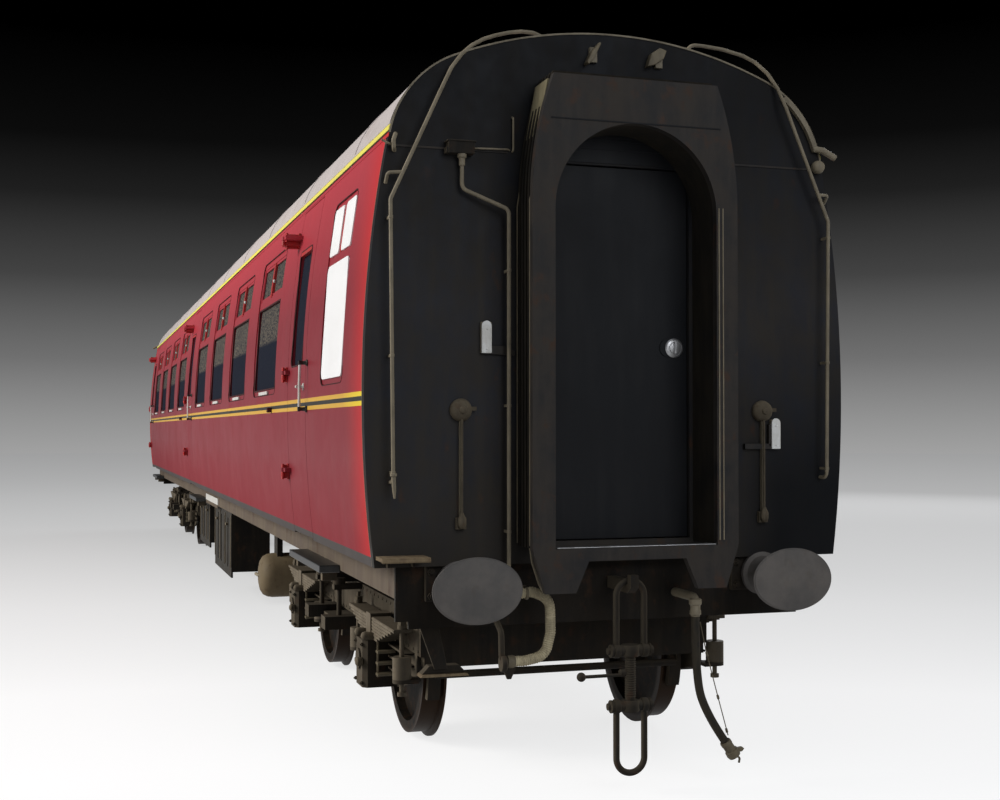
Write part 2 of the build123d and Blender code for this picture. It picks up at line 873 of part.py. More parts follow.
# Underframe: channel solebars, headstocks, cross and centre members
with BuildPart() as solebars:
    with BuildSketch(Plane.YZ.offset(-frame_half)):
        with BuildLine():
            Polyline(
                (solebar_half, solebar_foot),
                (solebar_half, sill_z),
                (solebar_half - solebar_flange, sill_z),
                (solebar_half - solebar_flange, sill_z - solebar_web),
                (solebar_half - solebar_web, sill_z - solebar_web),
                (solebar_half - solebar_web, solebar_foot + solebar_web),
                (solebar_half - solebar_flange, solebar_foot + solebar_web),
                (solebar_half - solebar_flange, solebar_foot),
                close=True,
            )
        make_face()
    extrude(amount=2 * frame_half)
    with BuildSketch(Plane.XZ.offset(-solebar_half)):
        with Locations((plate_x, plate_z)):
            Rectangle(plate_width, plate_high)
    extrude(amount=-plate_wall)
    mirror(about=Plane.XZ)
solebars.part.label = "solebars"
export_step(solebars.part, "parts/solebars.step")

with BuildPart() as headstocks:
    with BuildSketch(Plane.YZ.offset(frame_half)):
        with Locations((0, (headstock_foot + sill_z) / 2)):
            Rectangle(2 * solebar_half, sill_z - headstock_foot)
    extrude(amount=headstock_wall)
    mirror(about=Plane.YZ)
headstocks.part.label = "headstocks"
export_step(headstocks.part, "parts/headstocks.step")

bearer_places = [(i - (bearer_rows - 1) / 2) * bearer_pitch for i in range(bearer_rows)]
inner_half = solebar_half - solebar_flange
with BuildPart() as cross_bearers:
    with BuildSketch(Plane.XY.offset(bearer_foot)):
        for x in bearer_places:
            with Locations((x, 0)):
                Rectangle(bearer_web, 2 * inner_half)
        for side in (-1, 1):
            with Locations((0, side * centre_sill_y)):
                Rectangle(2 * frame_half, centre_sill_web)
        for x in bogie_centres:
            with Locations((x, 0)):
                Rectangle(2 * bolster_half_x, 2 * inner_half)
    extrude(amount=sill_z - bearer_foot)
    with BuildSketch(Plane.XY.offset(bolster_head + running_gap)):
        for x in bogie_centres:
            with Locations((x, 0)):
                Circle(pivot_radius)
    extrude(amount=bearer_foot - bolster_head - running_gap)
    with BuildSketch(Plane.XY.offset(pivot_foot)):
        for x in bogie_centres:
            with Locations((x, 0)):
                Circle(pivot_pin)
    extrude(amount=bolster_head + running_gap - pivot_foot)
cross_bearers.part.label = "cross_bearers"
export_step(cross_bearers.part, "parts/cross_bearers.step")

# Buffers: base, barrel, rod and oval head in one casting each
front_face = frame_half + headstock_wall
buffer_steps = (
    (front_face, buffer_barrel_front - front_face, buffer_barrel),
    (buffer_barrel_front, buffer_face - buffer_head_wall - buffer_barrel_front, buffer_rod),
)
with BuildPart() as buffers:
    with BuildSketch(Plane.YZ.offset(front_face)):
        for side in (-1, 1):
            with Locations((side * buffer_y, buffer_z)):
                Rectangle(2 * buffer_base, 2 * (sill_z - buffer_z - seat_gap))
    extrude(amount=buffer_base_wall)
    for start, length, radius in buffer_steps:
        with BuildSketch(Plane.YZ.offset(start)):
            for side in (-1, 1):
                with Locations((side * buffer_y, buffer_z)):
                    Circle(radius)
        extrude(amount=length)
    with BuildSketch(Plane.YZ.offset(buffer_face - buffer_head_wall)):
        for side in (-1, 1):
            with Locations((side * buffer_y, buffer_z)):
                Ellipse(buffer_head_wide / 2, buffer_head_high / 2)
    extrude(amount=buffer_head_wall)
    mirror(about=Plane.YZ)
buffers.part.label = "buffers"
export_step(buffers.part, "parts/buffers.step")

# Draw hooks with their screw couplings hanging from them
with BuildPart() as couplings:
    with BuildSketch(Plane.XZ.offset(-hook_wall / 2)):
        with BuildLine():
            Polyline(
                (front_face, hook_z - hook_shank / 2),
                (hook_x + link_bar, hook_z - hook_shank / 2),
                (hook_x + hook_shank, hook_z),
                (hook_x + hook_shank, hook_z + hook_shank),
                (hook_x + link_bar + seat_gap, hook_z + hook_shank),
                (hook_x + link_bar + seat_gap, hook_z + hook_shank / 2 - link_bar),
                (hook_x - link_bar - seat_gap, hook_z + hook_shank / 2 - link_bar),
                (hook_x - 2 * link_bar, hook_z + hook_shank / 2),
                (front_face, hook_z + hook_shank / 2),
                close=True,
            )
        make_face()
    extrude(amount=hook_wall)
    throat_z = hook_z + hook_shank / 2 + seat_gap
    for ends_z, bow_z, turn_up in (
        (upper_pin_z, throat_z, 1),
        (lower_pin_z, shackle_foot + link_bar, -1),
    ):
        with BuildLine(Plane.YZ.offset(hook_x)) as bow:
            spring_z = bow_z - turn_up * link_half
            Line((-link_half, ends_z), (-link_half, spring_z))
            ThreePointArc((-link_half, spring_z), (0, bow_z), (link_half, spring_z))
            Line((link_half, spring_z), (link_half, ends_z))
        with BuildSketch(Plane.XY.offset(ends_z)):
            with Locations((hook_x, -link_half)):
                Circle(link_bar)
        sweep(path=bow.wires()[0])
    with BuildSketch(Plane.XZ.offset(-link_half - eye_wall)):
        for pin_z in (upper_pin_z, lower_pin_z):
            with Locations((hook_x, pin_z)):
                Circle(eye_radius)
    extrude(amount=2 * link_half + 2 * eye_wall)
    with BuildSketch(Plane.XY.offset(lower_pin_z)):
        with Locations((hook_x, 0)):
            Circle(screw_radius)
    extrude(amount=upper_pin_z - lower_pin_z)
    with BuildSketch(Plane.XZ):
        with Locations((hook_x, bar_z)):
            Circle(bar_radius)
    extrude(amount=bar_length)
    with Locations((hook_x, -bar_length, bar_z)):
        Sphere(ball_radius)
with BuildPart() as both_couplings:
    add(couplings.part)
    add(couplings.part, rotation=(0, 0, 180))
both_couplings.part.label = "couplings"
export_step(both_couplings.part, "parts/couplings.step")

# End pipes, drawn for the front end and turned round for the rear
pipe_x = body_half + pipe_stand
end_routes = (
    (
        pipe_radius,
        (
            (body_half, -roof_pipe_y, roof_pipe_z),
            (pipe_x, -roof_pipe_y, roof_pipe_z),
            (pipe_x, -shoulder_pipe_y, shoulder_pipe_z),
            (pipe_x, -side_pipe_y, side_pipe_head),
            (pipe_x, -side_pipe_y, side_pipe_foot),
            (body_half, -side_pipe_y, side_pipe_foot),
        ),
    ),
    (
        pipe_radius,
        (
            (body_half, roof_pipe_y, roof_pipe_z),
            (pipe_x, roof_pipe_y, roof_pipe_z),
            (pipe_x, shoulder_pipe_y, shoulder_pipe_z),
            (pipe_x, side_pipe_y, side_pipe_head),
            (pipe_x, side_pipe_y, side_pipe_foot),
            (body_half, side_pipe_y, side_pipe_foot),
        ),
    ),
    (
        pipe_radius,
        (
            (body_half, -alarm_y, alarm_z),
            (pipe_x, -alarm_y, alarm_z),
            (pipe_x, -alarm_y, alarm_z - alarm_drop),
            (pipe_x, -drop_pipe_y, drop_pipe_head),
            (pipe_x, -drop_pipe_y, drop_pipe_foot),
        ),
    ),
    (
        stub_radius,
        (
            (front_face, -heat_y, heat_z),
            (heat_x, -heat_y, heat_z),
            (heat_x, stub_end - heat_y, heat_z),
        ),
    ),
    (
        stub_radius,
        (
            (front_face, brake_y, brake_z),
            (brake_x, brake_y, brake_z),
            (brake_x, brake_y, brake_z - brake_drop),
        ),
    ),
)
with BuildPart() as front_pipes:
    for radius, points in end_routes:
        bend = [pipe_bend] * (len(points) - 2)
        with BuildLine() as route:
            FilletPolyline(*points, radius=bend)
        with BuildSketch(Plane(origin=points[0], z_dir=run_between(*points[:2]))):
            Circle(radius)
        sweep(path=route.wires()[0])
    with BuildSketch(Plane.YZ.offset(body_half)):
        with Locations((-alarm_y, alarm_z)):
            Rectangle(alarm_width, alarm_width)
    extrude(amount=alarm_wall)
with BuildPart() as end_pipes:
    add(front_pipes.part)
    add(front_pipes.part, rotation=(0, 0, 180))
end_pipes.part.label = "end_pipes"
export_step(end_pipes.part, "parts/end_pipes.step")

# Corrugated heating hose, held at both ends
heat_route = (
    (heat_x, stub_end - heat_y, heat_z),
    (heat_x, heat_bow_y, heat_z),
    (heat_x, heat_bow_y, heat_foot),
    (heat_x, heat_end_y, heat_foot),
)
with BuildPart() as front_heating_hose:
    with BuildLine() as heat_line:
        FilletPolyline(*heat_route, radius=[heat_bend, heat_bend])
    with BuildSketch(Plane(origin=heat_route[0], z_dir=(0, 1, 0))):
        Circle(heat_radius)
    sweep(path=heat_line.wires()[0])
    with BuildSketch(Plane.XZ.offset(-heat_end_y)):
        with Locations((heat_x, heat_foot)):
            Circle(heat_head_radius)
    extrude(amount=heat_head)
    with BuildSketch(Plane.XY.offset(heat_foot)):
        with Locations((heat_x - heat_head_radius, heat_end_y - heat_head / 2)):
            Rectangle(heat_strap, heat_head)
    extrude(amount=headstock_foot + heat_strap - heat_foot)
    with BuildSketch(Plane.YZ.offset(front_face)):
        with Locations((heat_end_y - heat_head / 2, headstock_foot + heat_strap)):
            Rectangle(heat_head, heat_strap)
    extrude(amount=heat_x - heat_head_radius - front_face)
with BuildPart() as heating_hoses:
    add(front_heating_hose.part)
    add(front_heating_hose.part, rotation=(0, 0, 180))
heating_hoses.part.label = "heating_hoses"
export_step(heating_hoses.part, "parts/heating_hoses.step")

# Brake hose hanging free from its pipe, with its coupling head
brake_route = (
    (brake_x, brake_y, brake_z - brake_drop),
    (brake_x, brake_y, hose_knee_z),
    (brake_x, hose_bow_y, hose_bow_z),
    (brake_x, hose_end_y, hose_end_z),
)
brake_runs = [run_between(a, b) for a, b in zip(brake_route, brake_route[1:])]
hose_length = sum(run.length for run in brake_runs)
hose_bends = []
for before, after in zip(brake_runs, brake_runs[1:]):
    bend_turn = math.radians(before.get_angle(after))
    cut_back = bend_share * min(before.length, after.length)
    hose_bends.append(cut_back / math.tan(bend_turn / 2))
    hose_length += hose_bends[-1] * bend_turn - 2 * cut_back
print("brake hose bend radii", [round(bend, 1) for bend in hose_bends])
print("brake hose length", round(hose_length, 1))
with BuildPart() as front_brake_hose:
    with BuildLine() as hose_line:
        FilletPolyline(*brake_route, radius=hose_bends)
    with BuildSketch(Plane(origin=brake_route[0], z_dir=brake_runs[0])):
        Circle(hose_radius)
    sweep(path=hose_line.wires()[0])
hose_section = math.pi * hose_radius**2
print("volume over section times length", round(front_brake_hose.part.volume / hose_section / hose_length, 4))
with BuildPart() as brake_hoses:
    add(front_brake_hose.part)
    add(front_brake_hose.part, rotation=(0, 0, 180))
brake_hoses.part.label = "brake_hoses"
export_step(brake_hoses.part, "parts/brake_hoses.step")

with BuildPart() as front_hose_head:
    with BuildSketch(Plane(origin=brake_route[-1], z_dir=brake_runs[-1])):
        Circle(head_radius)
    extrude(amount=head_length)
with BuildPart() as hose_heads:
    add(front_hose_head.part)
    add(front_hose_head.part, rotation=(0, 0, 180))
hose_heads.part.label = "hose_heads"
export_step(hose_heads.part, "parts/hose_heads.step")

# Lamp irons, end discs with their rods, and the bars by the gangway
with BuildPart() as front_end_fittings:
    with BuildSketch(Plane.YZ.offset(body_half)):
        for y, z in iron_places:
            with Locations((y, z)):
                Rectangle(iron_width, iron_high)
        for y, z in lug_places:
            with Locations((y, z)):
                Rectangle(lug_width, lug_high)
        for side in (-1, 1):
            with Locations((side * disc_y, disc_z)):
                Circle(disc_radius)
            with Locations((side * disc_y, (disc_z + rod_foot) / 2)):
                Rectangle(rod_width, disc_z - rod_foot)
            with Locations((side * disc_y, rod_foot)):
                Rectangle(disc_radius, disc_radius)
    extrude(amount=iron_proud)
with BuildPart() as end_fittings:
    add(front_end_fittings.part)
    add(front_end_fittings.part, rotation=(0, 0, 180))
end_fittings.part.label = "end_fittings"
export_step(end_fittings.part, "parts/end_fittings.step")

# Steps: boards under the side doors, corner steps and hung steps at the ends
with BuildPart() as steps:
    for x, board_length in zip(door_centres, board_lengths):
        with BuildSketch(Plane.XY.offset(board_head - board_wall)):
            for side in (-1, 1):
                with Locations((x, side * (solebar_half + board_width / 2))):
                    Rectangle(board_length, board_width)
        extrude(amount=board_wall)
    with BuildSketch(Plane.XY.offset(sill_z)):
        for end in (-1, 1):
            for side in (-1, 1):
                with Locations((end * (body_half + corner_step / 2), side * corner_step_y)):
                    Rectangle(corner_step, corner_step_width)
    extrude(amount=corner_step_wall)
    with BuildSketch(Plane.XY.offset(hung_step_z)):
        for end in (-1, 1):
            for side in (-1, 1):
                with Locations((end * (frame_half - hung_step / 2), side * hung_step_y)):
                    Rectangle(hung_step, hung_step_width)
    extrude(amount=board_wall)
    with BuildSketch(Plane.XY.offset(hung_step_z + board_wall)):
        for end in (-1, 1):
            for side in (-1, 1):
                with Locations((end * (frame_half - hung_iron / 2), side * hung_step_y)):
                    Rectangle(hung_iron, hung_step_width / 2)
    extrude(amount=headstock_foot - hung_step_z - board_wall)
    with BuildSketch(Plane.XY.offset(headstock_foot)):
        for end in (-1, 1):
            for side in (-1, 1):
                with Locations((end * (frame_half - hung_iron / 2), side * hung_step_y)):
                    Rectangle(hung_iron, hung_step_width / 2)
    extrude(amount=hung_iron)
steps.part.label = "steps"
export_step(steps.part, "parts/steps.step")

# Battery and equipment boxes with louvred fronts, the cross tank and the brake cylinders
with BuildPart() as underframe_gear:
    for x, length, foot, front, back, side in gear_boxes:
        with BuildSketch(Plane.XY.offset(foot)):
            with Locations((x, side * (front + back) / 2)):
                Rectangle(length, front - back)
        extrude(amount=gear_head - foot)
        with BuildSketch(Plane.XZ.offset(-side * front)):
            with Locations((x, (foot + gear_head - gear_skirt) / 2)):
                Rectangle(length, gear_head - foot + gear_skirt)
                with GridLocations(length / gear_slots, 0, gear_slots - 1, 1):
                    Rectangle(slot_width, gear_head - foot - 2 * gear_skirt, mode=Mode.SUBTRACT)
        extrude(amount=-side * gear_front)
    with BuildSketch(Plane.YZ.offset(tank_x)):
        with BuildLine():
            TangentArc((-tank_out, tank_z), (tank_dome - tank_out, tank_z + tank_radius), tangent=(0, 1))
            Line((tank_dome - tank_out, tank_z + tank_radius), (tank_in - tank_dome, tank_z + tank_radius))
            TangentArc((tank_in, tank_z), (tank_in - tank_dome, tank_z + tank_radius), tangent=(0, 1))
            Line((tank_in, tank_z), (-tank_out, tank_z))
        make_face()
    revolve(axis=Axis((tank_x, 0, tank_z), (0, 1, 0)))
    with BuildSketch(Plane.XY.offset(tank_z)):
        for y in (tank_dome - tank_out + tank_strap, tank_in - tank_dome - tank_strap):
            with Locations((tank_x, y)):
                Rectangle(tank_radius, tank_strap)
    extrude(amount=bearer_foot - tank_z)
    with BuildSketch(Plane.XY.offset(cylinder_foot)):
        for x, y in cylinder_places:
            with Locations((x, y)):
                Circle(cylinder_radius)
    extrude(amount=bearer_foot - cylinder_foot)
underframe_gear.part.label = "underframe_gear"
export_step(underframe_gear.part, "parts/underframe_gear.step")

# Bogies
horn_half = box_wide / 2 + frame_plate_wall
axle_places = (axle_half, -axle_half)
hanger_places = [axle + end * hanger_x for axle in axle_places for end in (-1, 1)]
hanger_y = (spring_in + spring_out) / 2
spring_head = spring_foot + len(leaf_shares) * leaf_thick
for centre, bogie_name in zip(bogie_centres, ("front", "rear")):
    with BuildPart() as bogie_frame:
        with BuildSketch(Plane.XZ.offset(-frame_plate_y)):
            with Locations((centre, (frame_plate_foot + frame_plate_head) / 2)):
                Rectangle(2 * bogie_end, frame_plate_head - frame_plate_foot)
            for axle in axle_places:
                x = centre + axle
                with BuildLine():
                    Polyline(
                        (x - horn_half, box_foot),
                        (x + horn_half, box_foot),
                        (x + hanger_x, rib_heights[0]),
                        (x + hanger_x, frame_plate_foot),
                        (x - hanger_x, frame_plate_foot),
                        (x - hanger_x, rib_heights[0]),
                        close=True,
                    )
                make_face()
                with Locations((x, (box_foot + axle_z + journal_radius) / 2)):
                    Rectangle(
                        2 * (journal_radius + running_gap),
                        axle_z - box_foot + journal_radius + 2 * running_gap,
                        mode=Mode.SUBTRACT,
                    )
        extrude(amount=-frame_plate_wall)
        for rib_z in rib_heights:
            with BuildSketch(Plane.XY.offset(rib_z)):
                for axle in axle_places:
                    for end in (-1, 1):
                        x = centre + axle + end * (box_wide / 2 + hanger_x - cup_radius) / 2
                        with Locations((x, box_in + rib_wide / 2)):
                            Rectangle(hanger_x - cup_radius - box_wide / 2 - 2 * running_gap, rib_wide)
            extrude(amount=rib_wall)
        with BuildSketch(Plane.XY.offset(rib_heights[0])):
            for x in hanger_places:
                with Locations((centre + x, (box_in + hanger_y) / 2)):
                    Rectangle(2 * cup_radius, hanger_y - box_in)
                with Locations((centre + x, hanger_y)):
                    Circle(cup_radius)
        extrude(amount=cup_foot - rib_heights[0])
        with BuildSketch(Plane.XY.offset(rib_heights[0])):
            for x in hanger_places:
                with Locations((centre + x, hanger_y)):
                    Circle(rod_radius + seat_gap)
        extrude(amount=cup_foot - rib_heights[0], mode=Mode.SUBTRACT)
        with BuildSketch(Plane.XY.offset(frame_plate_head - swing_lug)):
            for end in (-1, 1):
                with Locations((centre + end * swing_x, (box_in + swing_y + swing_cap) / 2)):
                    Rectangle(2 * swing_cap, swing_y + swing_cap - box_in)
                with Locations((centre + end * swing_x, swing_y)):
                    Circle(swing_radius + seat_gap, mode=Mode.SUBTRACT)
        extrude(amount=swing_lug)
        mirror(about=Plane.XZ)
        with BuildSketch(Plane.XY.offset(beam_foot)):
            for end in (-1, 1):
                with Locations((centre + end * (bogie_end - bogie_beam / 2), 0)):
                    Rectangle(bogie_beam, 2 * frame_plate_y)
        extrude(amount=beam_head - beam_foot)
        with BuildSketch(Plane.XY.offset(frame_plate_foot)):
            for end in (-1, 1):
                with Locations((centre + end * transom_x, 0)):
                    Rectangle(transom_wall, 2 * frame_plate_y)
        extrude(amount=frame_plate_head - frame_plate_foot)
    name = "bogie_frame_" + bogie_name
    bogie_frame.part.label = name
    export_step(bogie_frame.part, "parts/" + name + ".step")

    # Bolster with the pivot bore, and the spring plank on its four swing links
    with BuildPart() as bolster:
        with BuildSketch(Plane.XY.offset(frame_plate_head + seat_gap)):
            with Locations((centre, 0)):
                Rectangle(2 * bolster_half_x, 2 * bolster_half_y)
        extrude(amount=bolster_head - frame_plate_head - seat_gap)
        with BuildSketch(Plane.XY.offset(bolster_foot)):
            with Locations((centre, 0)):
                Rectangle(2 * bolster_half_x, 2 * frame_plate_y - 2 * running_gap)
        extrude(amount=frame_plate_head + seat_gap - bolster_foot)
        with BuildSketch(Plane.XY.offset(pivot_foot - running_gap)):
            with Locations((centre, 0)):
                Circle(pivot_pin + bearing_gap)
        extrude(amount=bolster_head - pivot_foot + running_gap, mode=Mode.SUBTRACT)
        with BuildSketch(Plane.XY.offset(plank_foot)):
            with Locations((centre, 0)):
                Rectangle(2 * swing_x, 2 * swing_y)
        extrude(amount=plank_wall)
        with BuildSketch(Plane.XY.offset(plank_foot + plank_wall)):
            for side in (-1, 1):
                with Locations((centre, side * coil_y)):
                    Circle(coil_radius)
        extrude(amount=bolster_foot - plank_foot - plank_wall)
        with BuildSketch(Plane.XY.offset(plank_foot)):
            for end in (-1, 1):
                for side in (-1, 1):
                    with Locations((centre + end * swing_x, side * swing_y)):
                        Rectangle(swing_box_long, swing_box_wide)
        extrude(amount=swing_box_high)
        with BuildSketch(Plane.XY.offset(plank_foot)):
            for end in (-1, 1):
                for side in (-1, 1):
                    with Locations((centre + end * swing_x, side * swing_y)):
                        Circle(swing_radius)
        extrude(amount=frame_plate_head - plank_foot + seat_gap)
        with BuildSketch(Plane.XY.offset(frame_plate_head + seat_gap)):
            for end in (-1, 1):
                for side in (-1, 1):
                    with Locations((centre + end * swing_x, side * swing_y)):
                        Circle(swing_cap)
        extrude(amount=swing_cap)
    name = "bogie_bolster_" + bogie_name
    bolster.part.label = name
    export_step(bolster.part, "parts/" + name + ".step")

    with BuildPart() as axleboxes:
        with BuildSketch(Plane.XY.offset(box_foot)):
            for axle in axle_places:
                with BuildLine():
                    Polyline(
                        (centre + axle - box_wide / 2, box_in),
                        (centre + axle + box_wide / 2, box_in),
                        (centre + axle + box_wide / 2, box_out - box_chamfer),
                        (centre + axle + box_wide / 2 - box_chamfer, box_out),
                        (centre + axle - box_wide / 2 + box_chamfer, box_out),
                        (centre + axle - box_wide / 2, box_out - box_chamfer),
                        close=True,
                    )
                make_face()
        extrude(amount=box_high)
        with BuildSketch(Plane.XZ.offset(-box_out)):
            for axle in axle_places:
                with Locations((centre + axle, axle_z)):
                    Circle(boss_radius)
        extrude(amount=-boss_wall)
        with BuildSketch(Plane.XZ.offset(-box_in)):
            for axle in axle_places:
                with Locations((centre + axle, axle_z)):
                    Circle(journal_radius + bearing_gap)
        extrude(amount=box_in - axle_end - running_gap, mode=Mode.SUBTRACT)
        mirror(about=Plane.XZ)
    name = "axleboxes_" + bogie_name
    axleboxes.part.label = name
    export_step(axleboxes.part, "parts/" + name + ".step")

    # Laminated springs with a buckle over each box and a hanger rod at each end
    with BuildPart() as springs:
        for i, leaf_share in enumerate(leaf_shares):
            with BuildSketch(Plane.XZ.offset(-spring_in)):
                for axle in axle_places:
                    with Locations((centre + axle, spring_foot + (i + 1 / 2) * leaf_thick)):
                        Rectangle(2 * spring_half * leaf_share, leaf_thick)
            extrude(amount=spring_in - spring_out)
        with BuildSketch(Plane.XY.offset(spring_foot)):
            for axle in axle_places:
                with Locations((centre + axle, hanger_y)):
                    Rectangle(buckle_long, buckle_wide)
        extrude(amount=spring_head + leaf_thick - spring_foot)
        with BuildSketch(Plane.XY.offset(rod_foot_z)):
            for x in hanger_places:
                with Locations((centre + x, hanger_y)):
                    Circle(rod_radius)
        extrude(amount=spring_head - rod_foot_z)
        for level, high, radius in (
            (cup_foot, cup_high, cup_radius),
            (rod_foot_z, nut_high, nut_radius),
            (spring_head, nut_high, nut_radius),
        ):
            with BuildSketch(Plane.XY.offset(level)):
                for x in hanger_places:
                    with Locations((centre + x, hanger_y)):
                        Circle(radius)
            extrude(amount=high)
        mirror(about=Plane.XZ)
    name = "springs_" + bogie_name
    springs.part.label = name
    export_step(springs.part, "parts/" + name + ".step")

    # Brake blocks either side of every wheel, on beams hung from the side plates
    shoe_in = wheel_radius + running_gap
    shoe_out = shoe_in + shoe_wall
    with BuildPart() as brakes:
        with BuildSketch(Plane.XZ.offset(-shoe_y + shoe_wide / 2)):
            for axle in axle_places:
                with Locations((centre + axle, axle_z)):
                    Circle(shoe_out)
            for axle in axle_places:
                with Locations((centre + axle, axle_z)):
                    Circle(shoe_in, mode=Mode.SUBTRACT)
            with Locations((centre, shoe_z)):
                Rectangle(2 * (axle_half + shoe_out), shoe_high, mode=Mode.INTERSECT)
        extrude(amount=-shoe_wide)
        with BuildSketch(Plane.XZ.offset(-shoe_y)):
            for axle in axle_places:
                for end in (-1, 1):
                    with Locations((centre + axle + end * shoe_out, (shoe_z + brake_pin_z) / 2)):
                        Rectangle(brake_strap_wide, brake_pin_z - shoe_z)
        extrude(amount=-brake_strap_wall)
        with BuildSketch(Plane.XZ.offset(-shoe_y)):
            for axle in axle_places:
                for end in (-1, 1):
                    with Locations((centre + axle + end * shoe_out, brake_pin_z)):
                        Circle(brake_strap_wide / 2)
        extrude(amount=shoe_y - frame_plate_y)
        mirror(about=Plane.XZ)
        with BuildSketch(Plane.XZ.offset(-shoe_y)):
            for axle in axle_places:
                for end in (-1, 1):
                    with Locations((centre + axle + end * shoe_out, shoe_z)):
                        Circle(brake_strap_wide / 2)
        extrude(amount=2 * shoe_y)
    name = "brakes_" + bogie_name
    brakes.part.label = name
    export_step(brakes.part, "parts/" + name + ".step")

    # Wheelsets: an axle and two wheels pressed on it
    tread_out = tread_in + tyre_wide
    rim_r = wheel_radius - tyre_deep
    web_y = tread_in + tyre_wide / 2
    for axle, axle_name in zip(axle_places, ("outer", "inner")):
        axle_x = centre + axle * centre / bogie_centre
        with BuildPart() as wheelset:
            with BuildSketch(Plane.XY):
                with BuildLine():
                    Polyline(
                        (axle_radius + seat_gap, web_y - hub_wide / 2),
                        (hub_radius, web_y - hub_wide / 2),
                        (hub_radius, web_y - web_wide / 2),
                        (rim_r, web_y - web_wide / 2),
                        (rim_r, tread_in),
                        (wheel_radius + flange_depth, tread_in),
                        (wheel_radius + flange_depth, tread_in + flange_wide / 2),
                        (wheel_radius, tread_in + flange_wide),
                        (wheel_radius, tread_out),
                        (rim_r, tread_out),
                        (rim_r, web_y + web_wide / 2),
                        (hub_radius, web_y + web_wide / 2),
                        (hub_radius, web_y + hub_wide / 2),
                        (axle_radius + seat_gap, web_y + hub_wide / 2),
                        close=True,
                    )
                make_face()
            revolve(axis=Axis.Y)
            mirror(about=Plane.XZ)
            with BuildSketch(Plane.XZ.offset(-web_y - hub_wide / 2)):
                Circle(axle_radius)
            extrude(amount=2 * web_y + hub_wide)
            with BuildSketch(Plane.XZ.offset(-axle_end)):
                Circle(journal_radius)
            extrude(amount=2 * axle_end)
        name = "wheelset_" + bogie_name + "_" + axle_name
        placed = Pos(axle_x, 0, axle_z) * wheelset.part
        placed.label = name
        export_step(placed, "parts/" + name + ".step")
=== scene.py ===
"""Looks of the passenger coach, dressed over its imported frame.

Metres, X along the coach with the lavatory end at +X, Y to the side, Z up from the
bottom of the wheel flanges. Left is -Y, the side that the camera sees.
"""

import math

import bmesh
import bpy
import numpy as np
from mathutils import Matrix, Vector


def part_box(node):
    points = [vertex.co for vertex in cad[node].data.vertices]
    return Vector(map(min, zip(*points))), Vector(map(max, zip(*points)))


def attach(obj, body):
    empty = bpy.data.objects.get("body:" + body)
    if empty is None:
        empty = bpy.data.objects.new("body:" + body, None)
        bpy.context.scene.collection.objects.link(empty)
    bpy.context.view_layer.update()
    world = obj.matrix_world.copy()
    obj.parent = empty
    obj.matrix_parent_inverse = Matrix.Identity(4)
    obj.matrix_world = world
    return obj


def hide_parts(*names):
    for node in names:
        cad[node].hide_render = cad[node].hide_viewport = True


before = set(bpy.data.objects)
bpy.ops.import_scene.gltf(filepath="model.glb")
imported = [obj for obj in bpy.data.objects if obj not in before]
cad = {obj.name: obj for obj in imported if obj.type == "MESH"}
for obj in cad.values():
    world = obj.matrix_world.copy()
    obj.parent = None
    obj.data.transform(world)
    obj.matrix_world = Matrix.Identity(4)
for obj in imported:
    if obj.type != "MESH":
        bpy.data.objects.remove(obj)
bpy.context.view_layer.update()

# Heights and half widths that the dressing follows
RAIL = 0.030
SILL = RAIL + 1.147
WAIST = RAIL + 2.030
CANT = RAIL + 3.361
ROOF = RAIL + 3.968
WAIST_HALF = 1.372
SIDE_RADIUS = 6.950
ROOF_RADIUS = 2.340
ROOF_TURN = 0.900
END_X = float(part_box("body_ends")[1].x)
SHELL_X = float(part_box("body_sides")[1].x)
SOLEBAR_Y = 1.190
BOGIE_X = 7.087
AXLE_HALF = 1.2955
WHEEL_RADIUS = 0.4575
AXLE_Z = RAIL + WHEEL_RADIUS
SIDES = (-1, 1)
MERGE = 2e-5

# Side doors: name and place along the coach
DOORS = (("front", 7.630), ("middle", -0.920), ("rear", -9.060))
DOOR_WIDTH = 0.743
# Drop light: foot, head, width, corner
DOOR_LIGHT = (RAIL + 2.266, RAIL + 3.040, 0.460, 0.045)

# Windows, with the lavatory's as (place, width)
WINDOW_WIDTH = 1.230
WINDOW_FOOT = RAIL + 2.105
WINDOW_HEAD = RAIL + 3.180
WINDOW_CORNER = 0.070
WINDOW_EDGE = 0.045
TRANSOM = RAIL + 2.835
PITCH = 1.828
WINDOWS = [0.555 + i * PITCH for i in range(4)] + [-7.824 + i * PITCH for i in range(4)]
LAVATORY = (8.880, 0.690)
ALL_WINDOWS = [(x, WINDOW_WIDTH) for x in WINDOWS] + [LAVATORY]

# Step boards: the door's place and the board's length
STEP_BOARDS = tuple(zip((x for _, x in DOORS), (1.200, 0.960, 1.200)))

# The ends with the sense that turns the front one to them, and the bogies' bodies with their places
ENDS = (("front", 1), ("rear", -1))
BOGIES = (("bogie_front", BOGIE_X), ("bogie_rear", -BOGIE_X))


def side_y(z, proud=0.0):
    """Half width of the side at height z, on an arc that stands proud of the skin."""
    return WAIST_HALF - SIDE_RADIUS + np.sqrt((SIDE_RADIUS + proud) ** 2 - (np.asarray(z) - WAIST) ** 2)


